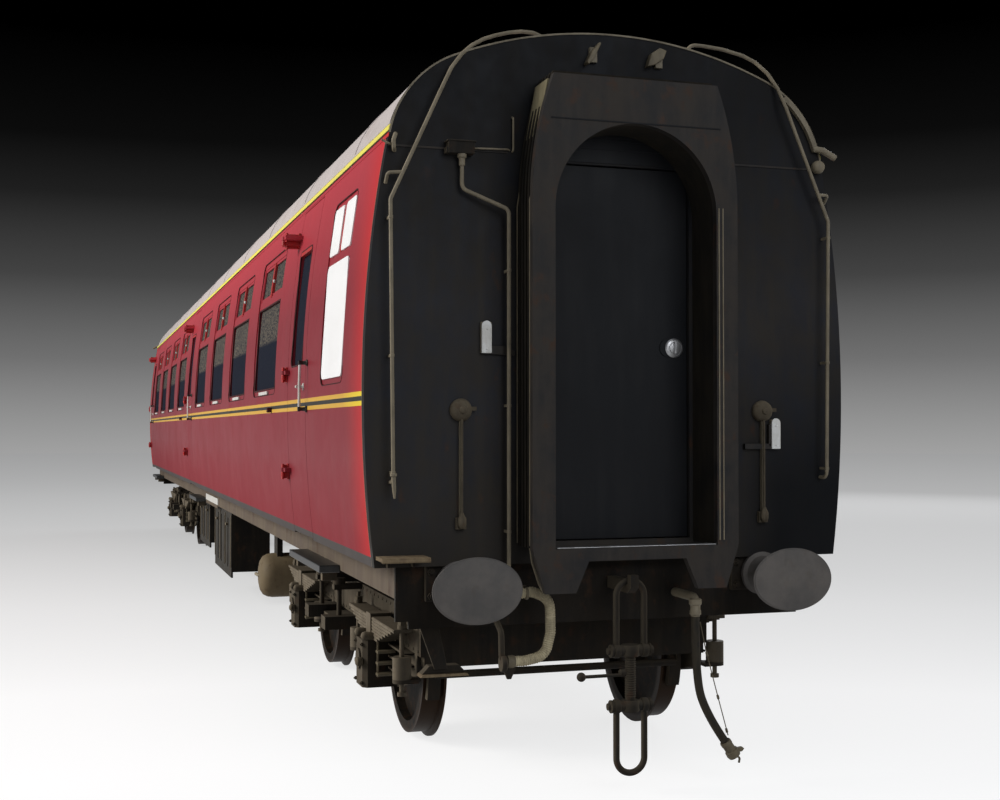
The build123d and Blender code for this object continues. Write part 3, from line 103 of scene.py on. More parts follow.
# Camera, at the photograph's place and angle
CAMERA_AT = (16.5139, -2.7754, 1.8486 + RAIL)
CAMERA_YAW = 0.3064
CAMERA_PITCH = 0.0216
FOCAL_PIXELS = 1353.22
IMAGE_WIDTH = 1000
SENSOR = 36.0
camera_data = bpy.data.cameras.new("camera")
camera_data.sensor_width = SENSOR
camera_data.lens = SENSOR * FOCAL_PIXELS / IMAGE_WIDTH
camera_data.clip_end = 200
camera = bpy.data.objects.new("camera", camera_data)
bpy.context.scene.collection.objects.link(camera)
looking = Vector((
    -math.cos(CAMERA_YAW) * math.cos(CAMERA_PITCH),
    math.sin(CAMERA_YAW) * math.cos(CAMERA_PITCH),
    math.sin(CAMERA_PITCH),
))
camera.location = CAMERA_AT
camera.rotation_euler = looking.to_track_quat("-Z", "Y").to_euler()
bpy.context.scene.camera = camera


# Shader building


def sockets(tree, kinds, direction):
    """Adds the named sockets of a node group: colours, floats and vectors with their defaults."""
    for name, value in kinds:
        if isinstance(value, tuple):
            kind = "NodeSocketColor"
        elif value is None:
            kind = "NodeSocketVector"
        else:
            kind = "NodeSocketFloat"
        socket = tree.interface.new_socket(name, in_out=direction, socket_type=kind)
        if value is not None:
            socket.default_value = value


def new_group(name, inputs, outputs):
    """A shader node group with its input and output nodes."""
    tree = bpy.data.node_groups.new(name, "ShaderNodeTree")
    sockets(tree, inputs, "INPUT")
    sockets(tree, outputs, "OUTPUT")
    return tree, tree.nodes.new("NodeGroupInput"), tree.nodes.new("NodeGroupOutput")


def node(tree, kind, settings=None, **inputs):
    """A shader node with attribute settings, and inputs by name or index: a value or a linked output."""
    made = tree.nodes.new(kind)
    for key, value in (settings or {}).items():
        setattr(made, key, value)
    for key, value in inputs.items():
        place = int(key[1:]) if key[0] == "i" and key[1:].isdigit() else key.replace("_", " ")
        socket = made.inputs[place]
        if isinstance(value, bpy.types.NodeSocket):
            tree.links.new(value, socket)
        else:
            socket.default_value = value
    return made


def sums(tree, operation, a, b=0.0, c=0.0, clamp=False):
    """The value of one math operation."""
    return node(tree, "ShaderNodeMath", {"operation": operation, "use_clamp": clamp}, i0=a, i1=b,
                i2=c).outputs[0]


def blend_colour(tree, share, a, b):
    """Colour a turning to b as share goes from 0 to 1, each of them three numbers or a linked output."""
    mixed = tree.nodes.new("ShaderNodeMix")
    mixed.data_type = "RGBA"
    for place, value in ((0, share), (6, a), (7, b)):
        if isinstance(value, bpy.types.NodeSocket):
            tree.links.new(value, mixed.inputs[place])
        else:
            mixed.inputs[place].default_value = (*value, 1) if place else value
    return mixed.outputs[2]


def layer(tree, colour, over, mask, amount=1.0):
    """A colour turned towards the one laid over it, by an amount of a mask."""
    return blend_colour(tree, sums(tree, "MULTIPLY", mask, amount), colour, over)


def ramp(tree, value, low, high):
    """0 below low, 1 above high and straight between."""
    return node(tree, "ShaderNodeMapRange", Value=value, From_Min=low, From_Max=high).outputs[0]


def point(tree):
    """The shaded point in object space, and its x, y and z."""
    place = node(tree, "ShaderNodeTexCoord").outputs["Object"]
    split = node(tree, "ShaderNodeSeparateXYZ", Vector=place)
    return place, split.outputs["X"], split.outputs["Y"], split.outputs["Z"]


def distance(tree, a, a_middle, b, b_middle):
    """How far the point (a, b) lies from its middle: the square root of the two differences squared."""
    squares = [sums(tree, "POWER", sums(tree, "SUBTRACT", value, middle), 2.0)
               for value, middle in ((a, a_middle), (b, b_middle))]
    return sums(tree, "SQRT", sums(tree, "ADD", *squares))


def make_patches():
    """Soft blotches: noise in object space, cut between two levels. Stretch squeezes it along Z into runs."""
    inputs = [("Scale", 3.0), ("Stretch", 1.0), ("Cut", 0.5), ("Softness", 0.1)]
    tree, given, made = new_group("Patches", inputs, [("Mask", 0.0)])
    scale, stretch, cut, softness = [given.outputs[name] for name, _ in inputs]
    place = point(tree)[0]
    squeeze = node(tree, "ShaderNodeCombineXYZ", X=1.0, Y=1.0, Z=stretch).outputs[0]
    shaped = node(tree, "ShaderNodeVectorMath", {"operation": "MULTIPLY"}, i0=place, i1=squeeze).outputs[0]
    noise = node(tree, "ShaderNodeTexNoise", Vector=shaped, Scale=scale, Detail=7.0, Roughness=0.62)
    low, high = sums(tree, "SUBTRACT", cut, softness), sums(tree, "ADD", cut, softness)
    tree.links.new(ramp(tree, noise.outputs["Fac"], low, high), made.inputs["Mask"])
    return tree


def make_settle():
    """Dust that gathers towards the foot: 1 at height Low and 0 at height High, broken by noise."""
    inputs = [("Low", 0.0), ("High", 1.0), ("Break", 0.5)]
    tree, given, made = new_group("Settled dust", inputs, [("Mask", 0.0)])
    low, high, broken = [given.outputs[name] for name, _ in inputs]
    place, _, _, height = point(tree)
    noise = node(tree, "ShaderNodeTexNoise", Vector=place, Scale=4.0, Detail=6.0, Roughness=0.6)
    rough = sums(tree, "MULTIPLY_ADD", noise.outputs["Fac"], broken, ramp(tree, height, high, low))
    cut = sums(tree, "SUBTRACT", rough, sums(tree, "MULTIPLY", broken, 0.5), clamp=True)
    tree.links.new(cut, made.inputs["Mask"])
    return tree


def make_facing_dust_and_light():
    """Dust and painted light by where a face looks, with faces that look sideways and up made lighter as if
    lit: Sideways * normal Y squared, and Upward * normal Z above zero.
    """
    tree, given, made = new_group("Facing dust and painted light", [("Sideways", 1.0), ("Upward", 0.5)], [("Mask", 0.0)])
    split = node(tree, "ShaderNodeSeparateXYZ", Vector=node(tree, "ShaderNodeTexCoord").outputs["Normal"])
    sideways = sums(tree, "POWER", sums(tree, "ABSOLUTE", split.outputs["Y"]), 2.0)
    upward = sums(tree, "MAXIMUM", split.outputs["Z"], 0.0)
    share = sums(tree, "MULTIPLY_ADD", upward, given.outputs["Upward"],
                 sums(tree, "MULTIPLY", sideways, given.outputs["Sideways"]), clamp=True)
    tree.links.new(share, made.inputs["Mask"])
    return tree


def make_grain():
    """A fine uneven surface for bump: a broad waviness with a finer pitting over it."""
    inputs = [("Wave", 2.0), ("Pit", 60.0), ("Pitting", 0.4)]
    tree, given, made = new_group("Surface grain", inputs, [("Height", 0.0)])
    place = point(tree)[0]
    wave = node(tree, "ShaderNodeTexNoise", Vector=place, Scale=given.outputs["Wave"], Detail=3.0)
    pit = node(tree, "ShaderNodeTexNoise", Vector=place, Scale=given.outputs["Pit"], Detail=5.0,
               Roughness=0.7)
    fine = sums(tree, "MULTIPLY", pit.outputs["Fac"], given.outputs["Pitting"])
    tree.links.new(sums(tree, "ADD", wave.outputs["Fac"], fine), made.inputs["Height"])
    return tree


PATCHES = make_patches()
SETTLE = make_settle()
FACING_DUST_AND_LIGHT = make_facing_dust_and_light()
GRAIN = make_grain()


def effect(tree, group, **inputs):
    """A node group placed in a material; gives its first output."""
    return node(tree, "ShaderNodeGroup", {"node_tree": group}, **inputs).outputs[0]


def patches(tree, scale, stretch, cut, softness):
    """The blotch group's mask."""
    return effect(tree, PATCHES, Scale=scale, Stretch=stretch, Cut=cut, Softness=softness)


def settle(tree, low, high, broken):
    """The settled dust group's mask."""
    return effect(tree, SETTLE, Low=low, High=high, Break=broken)


def start_material(name, roughness, metallic=0.0, specular=0.5):
    """A material with its Principled shader and plain constants set on it."""
    material = bpy.data.materials.new(name)
    material.use_nodes = True
    tree = material.node_tree
    shader = next(n for n in tree.nodes if n.type == "BSDF_PRINCIPLED")
    shader.inputs["Roughness"].default_value = roughness
    shader.inputs["Metallic"].default_value = metallic
    shader.inputs["Specular IOR Level"].default_value = specular
    return material, tree, shader


def connect(tree, shader, **values):
    """Links each value to the shader's input of that name."""
    for name, value in values.items():
        tree.links.new(value, shader.inputs[name.replace("_", " ")])


def add_bump(tree, shader, height, strength, reach):
    """Bump from a height, on the shader's normal."""
    bump = node(tree, "ShaderNodeBump", Strength=strength, Distance=reach, Height=height)
    connect(tree, shader, Normal=bump.outputs[0])


def add_grain(tree, shader, grain, bump):
    """The grain group as bump, from (wave, pit, pitting) and (strength, reach)."""
    add_bump(tree, shader, effect(tree, GRAIN, Wave=grain[0], Pit=grain[1], Pitting=grain[2]), *bump)


def weathered(name, paint, dirt, rust=None, roughness=0.5, metallic=0.0, specular=0.5,
              amounts=(0.5, 0.3, 0.6), scale=3.0, grain=(2.0, 60.0, 0.4), bump=(0.25, 0.004), facing=None):
    """Worn paint: colour blotches, runs of dirt down the faces and rust spots.

    amounts are the shares of dirt in blotches, dirt in runs, and rust. facing gives a colour of dust and
    painted light, with its shares on faces that look sideways and upwards, which it makes lighter as if lit;
    the dirt there is that colour darkened.
    """
    material, tree, shader = start_material(name, roughness, metallic, specular)
    # Dust and painted light: faces that look sideways and up take the facing colour, lighter as if lit
    if facing:
        dust, sideways, upward = facing
        lies = effect(tree, FACING_DUST_AND_LIGHT, Sideways=sideways, Upward=upward)
        paint = blend_colour(tree, lies, paint, dust)
        dirt = blend_colour(tree, lies, dirt, tuple(FACING_DIRT_DARKENING * c for c in dust))
    blotch = patches(tree, scale, 1.0, 0.52, 0.16)
    colour = layer(tree, paint, dirt, blotch, amounts[0])
    colour = layer(tree, colour, dirt, patches(tree, scale * 4, 0.14, 0.56, 0.12), amounts[1])
    if rust:
        colour = layer(tree, colour, rust, patches(tree, scale * 2.3, 0.8, 0.62, 0.05), amounts[2])
    dull = sums(tree, "MULTIPLY_ADD", blotch, 0.18, roughness, clamp=True)
    connect(tree, shader, Base_Color=colour, Roughness=dull)
    add_grain(tree, shader, grain, bump)
    return material


# How far the facing colour of dust and painted light is darkened for the dirt on those faces
FACING_DIRT_DARKENING = 0.7

# Colours, linear
MAROON = (0.262, 0.022, 0.033)
MAROON_DARK = (0.165, 0.014, 0.022)
MAROON_DUST = (0.190, 0.050, 0.050)
# Painted light: a lighter maroon for the side's upper part, and a brighter red for its ends, where the side
# turns towards the corner
MAROON_HIGHLIGHT = (0.600, 0.050, 0.070)
CORNER_HIGHLIGHT_RED = (0.700, 0.016, 0.014)
SEAM_RED = (0.060, 0.007, 0.009)
VENT_RED = (0.520, 0.012, 0.012)
YELLOW = (0.720, 0.420, 0.060)
# Painted highlight: the waist lines' brighter yellow at the corners
YELLOW_HIGHLIGHT = (0.95, 0.74, 0.020)
CANT_YELLOW = (1.0, 0.900, 0.110)
CANT_SHADE = (0.055, 0.035, 0.012)
LINE_DARK = (0.030, 0.027, 0.022)
END_BLACK = (0.0165, 0.0160, 0.0180)
END_BLUE = (0.0270, 0.0300, 0.0395)
END_BROWN = (0.037, 0.031, 0.023)
END_SOOT = (0.0040, 0.0047, 0.0060)
RUST = (0.060, 0.028, 0.014)
TREAD_RUST = (0.024, 0.012, 0.005)
TAN = (0.17, 0.135, 0.085)
BRAKE_DUST = (0.026, 0.020, 0.014)
# Dust and painted light for faces that look sideways and up, on the bogies and the underframe
SIDE_DUST_AND_LIGHT = (0.105, 0.086, 0.060)
GREY_DUST_AND_LIGHT = (0.064, 0.060, 0.053)
UNDER_BLACK = (0.0070, 0.0064, 0.0058)
ROOF_GREY = (0.56, 0.50, 0.485)
ROOF_SOOT = (0.42, 0.38, 0.36)
WHITE = (0.72, 0.72, 0.70)
CREAM = (0.52, 0.42, 0.28)

FOOT_GREY = (0.075, 0.066, 0.063)
GLASS_DARK = (0.0165, 0.0200, 0.0320)
GLASS_FLECK = (0.30, 0.255, 0.185)
GLASS_WHITE = (0.97, 0.97, 0.98)
CHECK_DARK = (0.075, 0.035, 0.030)
CHECK_LIGHT = (0.125, 0.080, 0.045)
WEAVE = 900.0

# Waist lines: middle, half width, colour along the side and colour at the corner, where a painted highlight
# brightens them
LINE_TOP = RAIL + 2.043
LINES = (
    (LINE_TOP - 0.0125, 0.0125, YELLOW, YELLOW_HIGHLIGHT),
    (LINE_TOP - 0.0370, 0.0120, LINE_DARK, LINE_DARK),
    (LINE_TOP - 0.0615, 0.0125, YELLOW, YELLOW_HIGHLIGHT),
)
LINING_DEPTH = 0.048
FOOT_STRIP = 0.050
FLECKS_FROM = (RAIL + 2.500, RAIL + 2.530)


def make_side_paint():
    """Maroon with painted light: lighter to the roof, and redder at the corners as a painted highlight, with
    waist lines, a grey foot and pale lining.

    Depth under the skin = the side's radius - the distance from its arc's middle.
    """
    material, tree, shader = start_material("side_paint", 0.38, specular=0.20)
    _, x, y, z = point(tree)
    reach = distance(tree, sums(tree, "ABSOLUTE", y), WAIST_HALF - SIDE_RADIUS, z, WAIST)
    depth = sums(tree, "SUBTRACT", SIDE_RADIUS, reach)
    blotch = patches(tree, 1.4, 1.0, 0.52, 0.2)
    settled = settle(tree, SILL, SILL + 0.55, 0.8)
    colour = layer(tree, MAROON, MAROON_DARK, blotch, 0.30)
    colour = layer(tree, colour, MAROON_DUST, patches(tree, 9.0, 0.10, 0.6, 0.12), 0.22)
    colour = layer(tree, colour, MAROON_DUST, settled, 0.12)
    # Painted light: the side turns lighter towards the roof
    colour = layer(tree, colour, MAROON_HIGHLIGHT, ramp(tree, z, WAIST + 0.55, CANT + 0.05), 0.75)
    # Painted highlight: redder towards the corners, with the waist lines brighter there
    corner = ramp(tree, sums(tree, "ABSOLUTE", x), END_X - 0.55, END_X + 0.10)
    colour = blend_colour(tree, sums(tree, "POWER", corner, 1.6), colour, CORNER_HIGHLIGHT_RED)
    for middle, half, line, bright in LINES:
        line = blend_colour(tree, sums(tree, "POWER", corner, 0.7), line, bright)
        colour = blend_colour(tree, sums(tree, "COMPARE", z, middle, half), colour, line)
    colour = blend_colour(tree, sums(tree, "LESS_THAN", z, SILL + FOOT_STRIP), colour, FOOT_GREY)
    lining = blend_colour(tree, patches(tree, 5.0, 0.2, 0.5, 0.2), CREAM, TAN)
    colour = blend_colour(tree, sums(tree, "GREATER_THAN", depth, LINING_DEPTH), colour, lining)
    dull = sums(tree, "MULTIPLY_ADD", settled, 0.35, sums(tree, "MULTIPLY_ADD", blotch, 0.10, 0.36),
                clamp=True)
    connect(tree, shader, Base_Color=colour, Roughness=dull)
    add_grain(tree, shader, (1.3, 90.0, 0.12), (0.10, 0.004))
    return material


def make_glass():
    """Dark glass with pale flecks over the windows' upper part, and white towards the lavatory end."""
    material, tree, shader = start_material("window_glass", 0.10, specular=0.0)
    place, x, _, z = point(tree)
    white = sums(tree, "GREATER_THAN", x, LAVATORY[0] - LAVATORY[1])
    fine = node(tree, "ShaderNodeTexNoise", Vector=place, Scale=75.0, Detail=2.0, Roughness=0.8)
    flecks = ramp(tree, fine.outputs["Fac"], 0.44, 0.56)
    upper = ramp(tree, z, *FLECKS_FROM)
    for _, door_x in DOORS:
        upper = sums(tree, "SUBTRACT", upper, sums(tree, "COMPARE", x, door_x, 0.300), clamp=True)
    share = sums(tree, "MULTIPLY", flecks, sums(tree, "MULTIPLY_ADD", upper, 0.44, 0.03))
    colour = blend_colour(tree, share, GLASS_DARK, GLASS_FLECK)
    clear = sums(tree, "MULTIPLY_ADD", upper, 0.02, 0.97, clamp=True)
    connect(tree, shader, Base_Color=blend_colour(tree, white, colour, GLASS_WHITE),
            Alpha=sums(tree, "MAXIMUM", clear, white), Roughness=sums(tree, "MULTIPLY_ADD", white, 0.3, 0.06))
    return material


def make_fabric():
    """Woven seat moquette: a worn check in two tones; weave height = sine of y times sine of x."""
    material, tree, shader = start_material("seat_moquette", 0.95, specular=0.2)
    place, x, y, _ = point(tree)
    warp, weft = [sums(tree, "SINE", sums(tree, "MULTIPLY", way, WEAVE)) for way in (y, x)]
    check = node(tree, "ShaderNodeTexChecker", Vector=place, Scale=28.0)
    tone = blend_colour(tree, check.outputs["Fac"], CHECK_DARK, CHECK_LIGHT)
    connect(tree, shader, Base_Color=layer(tree, tone, TAN, patches(tree, 6.0, 1.0, 0.55, 0.2), 0.5))
    add_bump(tree, shader, sums(tree, "MULTIPLY", warp, weft), 0.3, 0.001)
    return material


def make_timber(name, light, dark):
    """Varnished veneer: rings of grain stretched along Z."""
    material, tree, shader = start_material(name, 0.35)
    squeeze = node(tree, "ShaderNodeVectorMath", {"operation": "MULTIPLY"}, i0=point(tree)[0],
                   i1=(6.0, 6.0, 0.7))
    wave = node(tree, "ShaderNodeTexWave", Vector=squeeze.outputs[0], Scale=2.0, Distortion=6.0, Detail=4.0)
    connect(tree, shader, Base_Color=blend_colour(tree, wave.outputs["Fac"], light, dark))
    add_bump(tree, shader, wave.outputs["Fac"], 0.05, 0.002)
    return material


def make_wheel():
    """Wheels and axle: brown dust over black, with a rusty tread by the distance from the nearest axle."""
    material, tree, shader = start_material("wheel_steel", 0.6, specular=0.08)
    _, x, _, z = point(tree)
    colour = blend_colour(tree, patches(tree, 7.0, 1.0, 0.5, 0.15), UNDER_BLACK, BRAKE_DUST)
    colour = layer(tree, colour, RUST, patches(tree, 22.0, 1.0, 0.58, 0.06), 0.5)
    along = sums(tree, "ABSOLUTE", sums(tree, "SUBTRACT", sums(tree, "ABSOLUTE", x), BOGIE_X))
    reach = distance(tree, along, AXLE_HALF, z, AXLE_Z)
    tread = ramp(tree, reach, WHEEL_RADIUS - 0.030, WHEEL_RADIUS - 0.004)
    dull = sums(tree, "MULTIPLY_ADD", tread, -0.22, 0.62)
    connect(tree, shader, Base_Color=blend_colour(tree, tread, colour, TREAD_RUST), Roughness=dull)
    add_grain(tree, shader, (9.0, 140.0, 0.6), (0.35, 0.003))
    return material


def make_end_paint():
    """The end wall: blue-black paint with brown grime, rust and soot, and laminate on the inner face.

    Soot gathers towards the crown, and below it on the right, by the product of x and y.
    """
    material, tree, shader = start_material("end_paint", 0.5, specular=0.07)
    _, x, y, z = point(tree)
    fine = patches(tree, 7.0, 0.8, 0.5, 0.18)
    soot_right = ramp(tree, sums(tree, "MULTIPLY", y, x), 5.5, 9.5)
    soot_low = ramp(tree, sums(tree, "MULTIPLY", z, -1.0), -2.45, -1.55)
    colour = layer(tree, END_BLACK, END_BLUE, patches(tree, 1.8, 0.8, 0.5, 0.22), 0.8)
    for over, mask, amount in (
        (END_BROWN, fine, 0.6),
        (END_BROWN, patches(tree, 14.0, 0.10, 0.57, 0.1), 0.45),
        (RUST, patches(tree, 5.0, 0.6, 0.66, 0.04), 0.7),
        (END_BROWN, settle(tree, SILL, SILL + 0.5, 0.9), 0.55),
        (END_SOOT, ramp(tree, z, RAIL + 2.50, RAIL + 3.60), 0.75),
        (END_SOOT, sums(tree, "MULTIPLY", soot_right, soot_low), 0.92),
    ):
        colour = layer(tree, colour, over, mask, amount)
    inner = sums(tree, "LESS_THAN", sums(tree, "ABSOLUTE", x), SHELL_X + 0.002)
    dull = sums(tree, "MULTIPLY_ADD", fine, 0.22, 0.42, clamp=True)
    connect(tree, shader, Base_Color=blend_colour(tree, inner, colour, CREAM), Roughness=dull)
    add_grain(tree, shader, (2.2, 70.0, 0.25), (0.28, 0.005))
    return material


SIDE_PAINT = make_side_paint()
GLASS = make_glass()
END_PAINT = make_end_paint()
FABRIC = make_fabric()
WHEEL_STEEL = make_wheel()
TIMBER = make_timber("varnished_timber", (0.30, 0.16, 0.07), (0.17, 0.08, 0.035))
LINOLEUM = weathered("lino_floor", (0.11, 0.06, 0.045), (0.06, 0.04, 0.03), roughness=0.6)
ROOF_PAINT = weathered("roof_paint", ROOF_GREY, ROOF_SOOT, (0.30, 0.21, 0.17), 0.62, specular=0.3,
                       amounts=(0.45, 0.2, 0.25), scale=1.6)
RED_PAINT = weathered("bright_red_paint", VENT_RED, (0.22, 0.03, 0.025), None, 0.4, amounts=(0.5, 0.2, 0),
                      scale=9)
GANGWAY_PAINT = weathered("gangway_paint", (0.0135, 0.0130, 0.0135), (0.040, 0.033, 0.027),
                          (0.050, 0.024, 0.013), 0.55, specular=0.18, amounts=(0.8, 0.5, 0.65), scale=4.4)
# Painted shade: the end doors' black, much darker than the end's, for their place deep in the gangway; also
# used on the boards over them and on the faceplate's joint line
DOOR_PAINT_AND_SHADE = weathered("end_door_paint_and_shade", (0.0042, 0.0050, 0.0068), (0.0125, 0.0125, 0.0135), None, 0.5,
                       specular=0.14, amounts=(0.6, 0.5, 0), scale=2.4)
BELLOWS = weathered("bellows_rubber", (0.0095, 0.0085, 0.0072), (0.030, 0.024, 0.016), None, 0.85,
                    specular=0.15, amounts=(0.6, 0.6, 0), scale=5)
SOLEBAR_PAINT = weathered("solebar_paint", (0.112, 0.085, 0.066), (0.17, 0.135, 0.095), RUST, 0.7,
                          specular=0.2, amounts=(0.5, 0.8, 0.5), scale=2.6)
# The facing colours of the underframe, bogie and spring finishes are dust and painted light on faces that
# look sideways and up
UNDER_PAINT = weathered("underframe_paint", UNDER_BLACK, BRAKE_DUST, RUST, 0.75, specular=0.14,
                        amounts=(0.6, 0.5, 0.35), scale=5, facing=(GREY_DUST_AND_LIGHT, 0.9, 0.4))
BOGIE_PAINT = weathered("bogie_paint", (0.0095, 0.0084, 0.0070), (0.034, 0.026, 0.018), RUST, 0.72,
                        specular=0.15, amounts=(0.7, 0.5, 0.4), scale=6, facing=(SIDE_DUST_AND_LIGHT, 1.0, 0.55))
SPRING_STEEL = weathered("spring_steel", (0.050, 0.041, 0.029), (0.095, 0.076, 0.052), RUST, 0.6, 0.2, 0.2,
                         amounts=(0.7, 0.4, 0.3), scale=9, facing=((0.190, 0.155, 0.108), 1.0, 0.5))
BUFFER_STEEL = weathered("buffer_steel", (0.076, 0.071, 0.067), (0.135, 0.120, 0.108),
                         (0.075, 0.052, 0.034), 0.55, 0.05, 0.25, amounts=(0.9, 0.15, 0.2), scale=5)
# The pipes' facing colour: dust and painted light on faces that look sideways and up
PIPE_PAINT = weathered("pipe_paint", (0.215, 0.180, 0.122), (0.040, 0.034, 0.026), None, 0.5, specular=0.3,
                       amounts=(0.45, 0.3, 0), scale=9, facing=((0.30, 0.25, 0.17), 0.9, 0.5))
WHITE_PAINT = weathered("white_paint", WHITE, (0.42, 0.38, 0.31), None, 0.5, amounts=(0.5, 0.3, 0), scale=12)
YELLOW_PAINT = weathered("cantrail_yellow", CANT_YELLOW, (0.55, 0.45, 0.16), None, 0.4,
                         amounts=(0.4, 0.2, 0), scale=2)
# The hoses' facing colour: dust and painted light on faces that look sideways and up
HOSE_RUBBER = weathered("hose_rubber", (0.014, 0.0125, 0.010), (0.050, 0.041, 0.028), None, 0.75,
                        specular=0.2, amounts=(0.7, 0.4, 0), scale=14,
                        facing=((0.085, 0.070, 0.048), 0.6, 0.2))
HEAT_HOSE = weathered("heating_hose_skin", (0.480, 0.410, 0.265), (0.110, 0.092, 0.062), None, 0.7,
                      specular=0.25, amounts=(0.5, 0.4, 0), scale=16)
STEP_WOOD = make_timber("step_boards", (0.024, 0.025, 0.025), (0.014, 0.015, 0.015))
CORNER_PLATE = weathered("rusty_step_plate", (0.130, 0.092, 0.055), (0.26, 0.195, 0.112), RUST, 0.65,
                         specular=0.2, amounts=(0.6, 0.5, 0.5), scale=12)
# The tank's facing colour: dust and painted light on faces that look sideways and up
TANK_PAINT = weathered("tank_paint", (0.125, 0.092, 0.052), (0.200, 0.150, 0.085), RUST, 0.6, specular=0.25,
                       amounts=(0.8, 0.3, 0.4), scale=6, facing=((0.200, 0.155, 0.092), 0.5, 0.3))
TAN_STEEL = weathered("tan_steel", (0.160, 0.130, 0.080), (0.060, 0.050, 0.036), None, 0.5, specular=0.3,
                      amounts=(0.6, 0.4, 0), scale=10)
RACK_METAL = weathered("rack_metal", (0.30, 0.29, 0.27), (0.15, 0.14, 0.12), None, 0.4, 0.6)
BRIGHT_STEEL = weathered("bright_steel", (0.42, 0.42, 0.43), (0.16, 0.15, 0.14), None, 0.28, 0.85, scale=14)
DARK_IRON = weathered("dark_iron", (0.018, 0.017, 0.017), (0.06, 0.05, 0.04), None, 0.45, 0.5, scale=14)
SEAM_PAINT = weathered("seam_paint", SEAM_RED, (0.03, 0.02, 0.018), None, 0.6, specular=0.2, scale=9)
SHADE_PAINT = weathered("cantrail_shade", CANT_SHADE, (0.03, 0.02, 0.01), None, 0.6, specular=0.2, scale=9)
OBSCURED = weathered("obscured_glass", (1.0, 1.0, 1.0), (0.95, 0.95, 0.96), None, 0.35, specular=0.2,
                     amounts=(0.3, 0.1, 0), scale=3, bump=(0.0, 0.001))
# Painted highlight: pale tan on the edges of the spring leaves, with dirt and rust
LEAF_EDGE_HIGHLIGHT = weathered("leaf_edge_highlights", (0.230, 0.190, 0.135), (0.070, 0.056, 0.038), RUST, 0.6, specular=0.2,
                      amounts=(0.6, 0.4, 0.4), scale=13)
# Dusty iron whose facing colour is dust and painted light on faces that look sideways and up
TAN_DUST_AND_LIGHT = weathered("dusty_iron_and_painted_light", (0.085, 0.068, 0.045), (0.035, 0.028, 0.020), RUST, 0.7, specular=0.2,
                     amounts=(0.8, 0.4, 0.4), scale=11, facing=((0.19, 0.155, 0.105), 0.9, 0.5))
KHAKI = weathered("khaki_canvas", (0.235, 0.205, 0.125), (0.11, 0.09, 0.055), None, 0.85, specular=0.15,
                  amounts=(0.5, 0.4, 0), scale=7)

# What each node of the frame is finished in, by the start of its name
FINISHES = (
    ("door_hinges", RED_PAINT),
    ("door_", SIDE_PAINT),
    ("body_sides", SIDE_PAINT),
    ("body_ends", END_PAINT),
    ("roof", ROOF_PAINT),
    ("floor", LINOLEUM),
    ("partitions", TIMBER),
    ("tables", TIMBER),
    ("luggage_racks", RACK_METAL),
    ("seat_bases", UNDER_PAINT),
    ("seat_", FABRIC),
    ("window_frames", SIDE_PAINT),
    ("vent_frames", SIDE_PAINT),
    ("window_panes", GLASS),
    ("gangway_bellows", BELLOWS),
    ("gangway_door_", DOOR_PAINT_AND_SHADE),
    ("gangway_", GANGWAY_PAINT),
    ("solebars", SOLEBAR_PAINT),
    ("headstocks", UNDER_PAINT),
    ("cross_bearers", UNDER_PAINT),
    ("underframe_gear", UNDER_PAINT),
    ("buffers", BUFFER_STEEL),
    ("couplings", BOGIE_PAINT),
    ("end_pipes", PIPE_PAINT),
    ("end_fittings", PIPE_PAINT),
    ("steps", STEP_WOOD),
    ("springs", SPRING_STEEL),
    ("wheelset", WHEEL_STEEL),
    ("axleboxes", BOGIE_PAINT),
    ("bogie_", BOGIE_PAINT),
    ("brakes", BOGIE_PAINT),
    ("hose_heads", TAN_STEEL),
    ("brake_hoses", HOSE_RUBBER),
    ("heating_hoses", HEAT_HOSE),
)
for name, shown in cad.items():
    finish = GLASS if name.endswith("_pane") else next(m for start, m in FINISHES if name.startswith(start))
    shown.data.materials.clear()
    shown.data.materials.append(finish)


# Mesh making


def merge(parts):
    """Several (points, faces) put together as one."""
    points, faces, start = [], [], 0
    for p, f in parts:
        points.append(np.asarray(p, float).reshape(-1, 3))
        faces += [tuple(int(i) + start for i in face) for face in f]
        start += len(points[-1])
    return np.vstack(points), faces


def turned(parts, end):
    """Parts put together for the front end (1), or turned half a turn about Z for the rear end (-1)."""
    points, faces = merge(parts)
    return points * (end, end, 1), faces


def both_sides(points, faces):
    """A shape and its reflection in the plane along the coach's middle."""
    return merge([(points, faces), (np.asarray(points) * (1, -1, 1), faces)])


def link(name, data):
    """An object of this data, in the scene."""
    made = bpy.data.objects.new(name, data)
    bpy.context.scene.collection.objects.link(made)
    return made


def add_piece(name, parts, material, body="coach", slot=None, smooth=None, bevel=0.0):
    """One mesh piece from closed parts, each given as points and faces, riding on a body.

    Points of a pole or seam are merged and the faces turned outwards. smooth is the angle in
    degrees past which an edge stays sharp. bevel rounds hard edges by that width.
    """
    points, faces = merge(parts)
    mesh = bpy.data.meshes.new(name)
    mesh.from_pydata(points.tolist(), [], faces)
    shape = bmesh.new()
    shape.from_mesh(mesh)
    bmesh.ops.remove_doubles(shape, verts=shape.verts, dist=MERGE)
    bmesh.ops.recalc_face_normals(shape, faces=shape.faces)
    shape.to_mesh(mesh)
    shape.free()
    made = link(name, mesh)
    mesh.materials.append(material)
    if smooth:
        mesh.shade_smooth()
        mesh.set_sharp_from_angle(angle=math.radians(smooth))
    if bevel:
        rounding = made.modifiers.new("rounding", "BEVEL")
        rounding.width = bevel
        rounding.segments = 2
        rounding.limit_method = "ANGLE"
    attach(made, body)
    return made


def end_piece(name, parts, material, slot="steel_grey", **looks):
    """A piece on the coach drawn for the front end and turned for the rear."""
    return add_piece(name, [turned(parts, end) for _, end in ENDS], material, slot=slot, **looks)


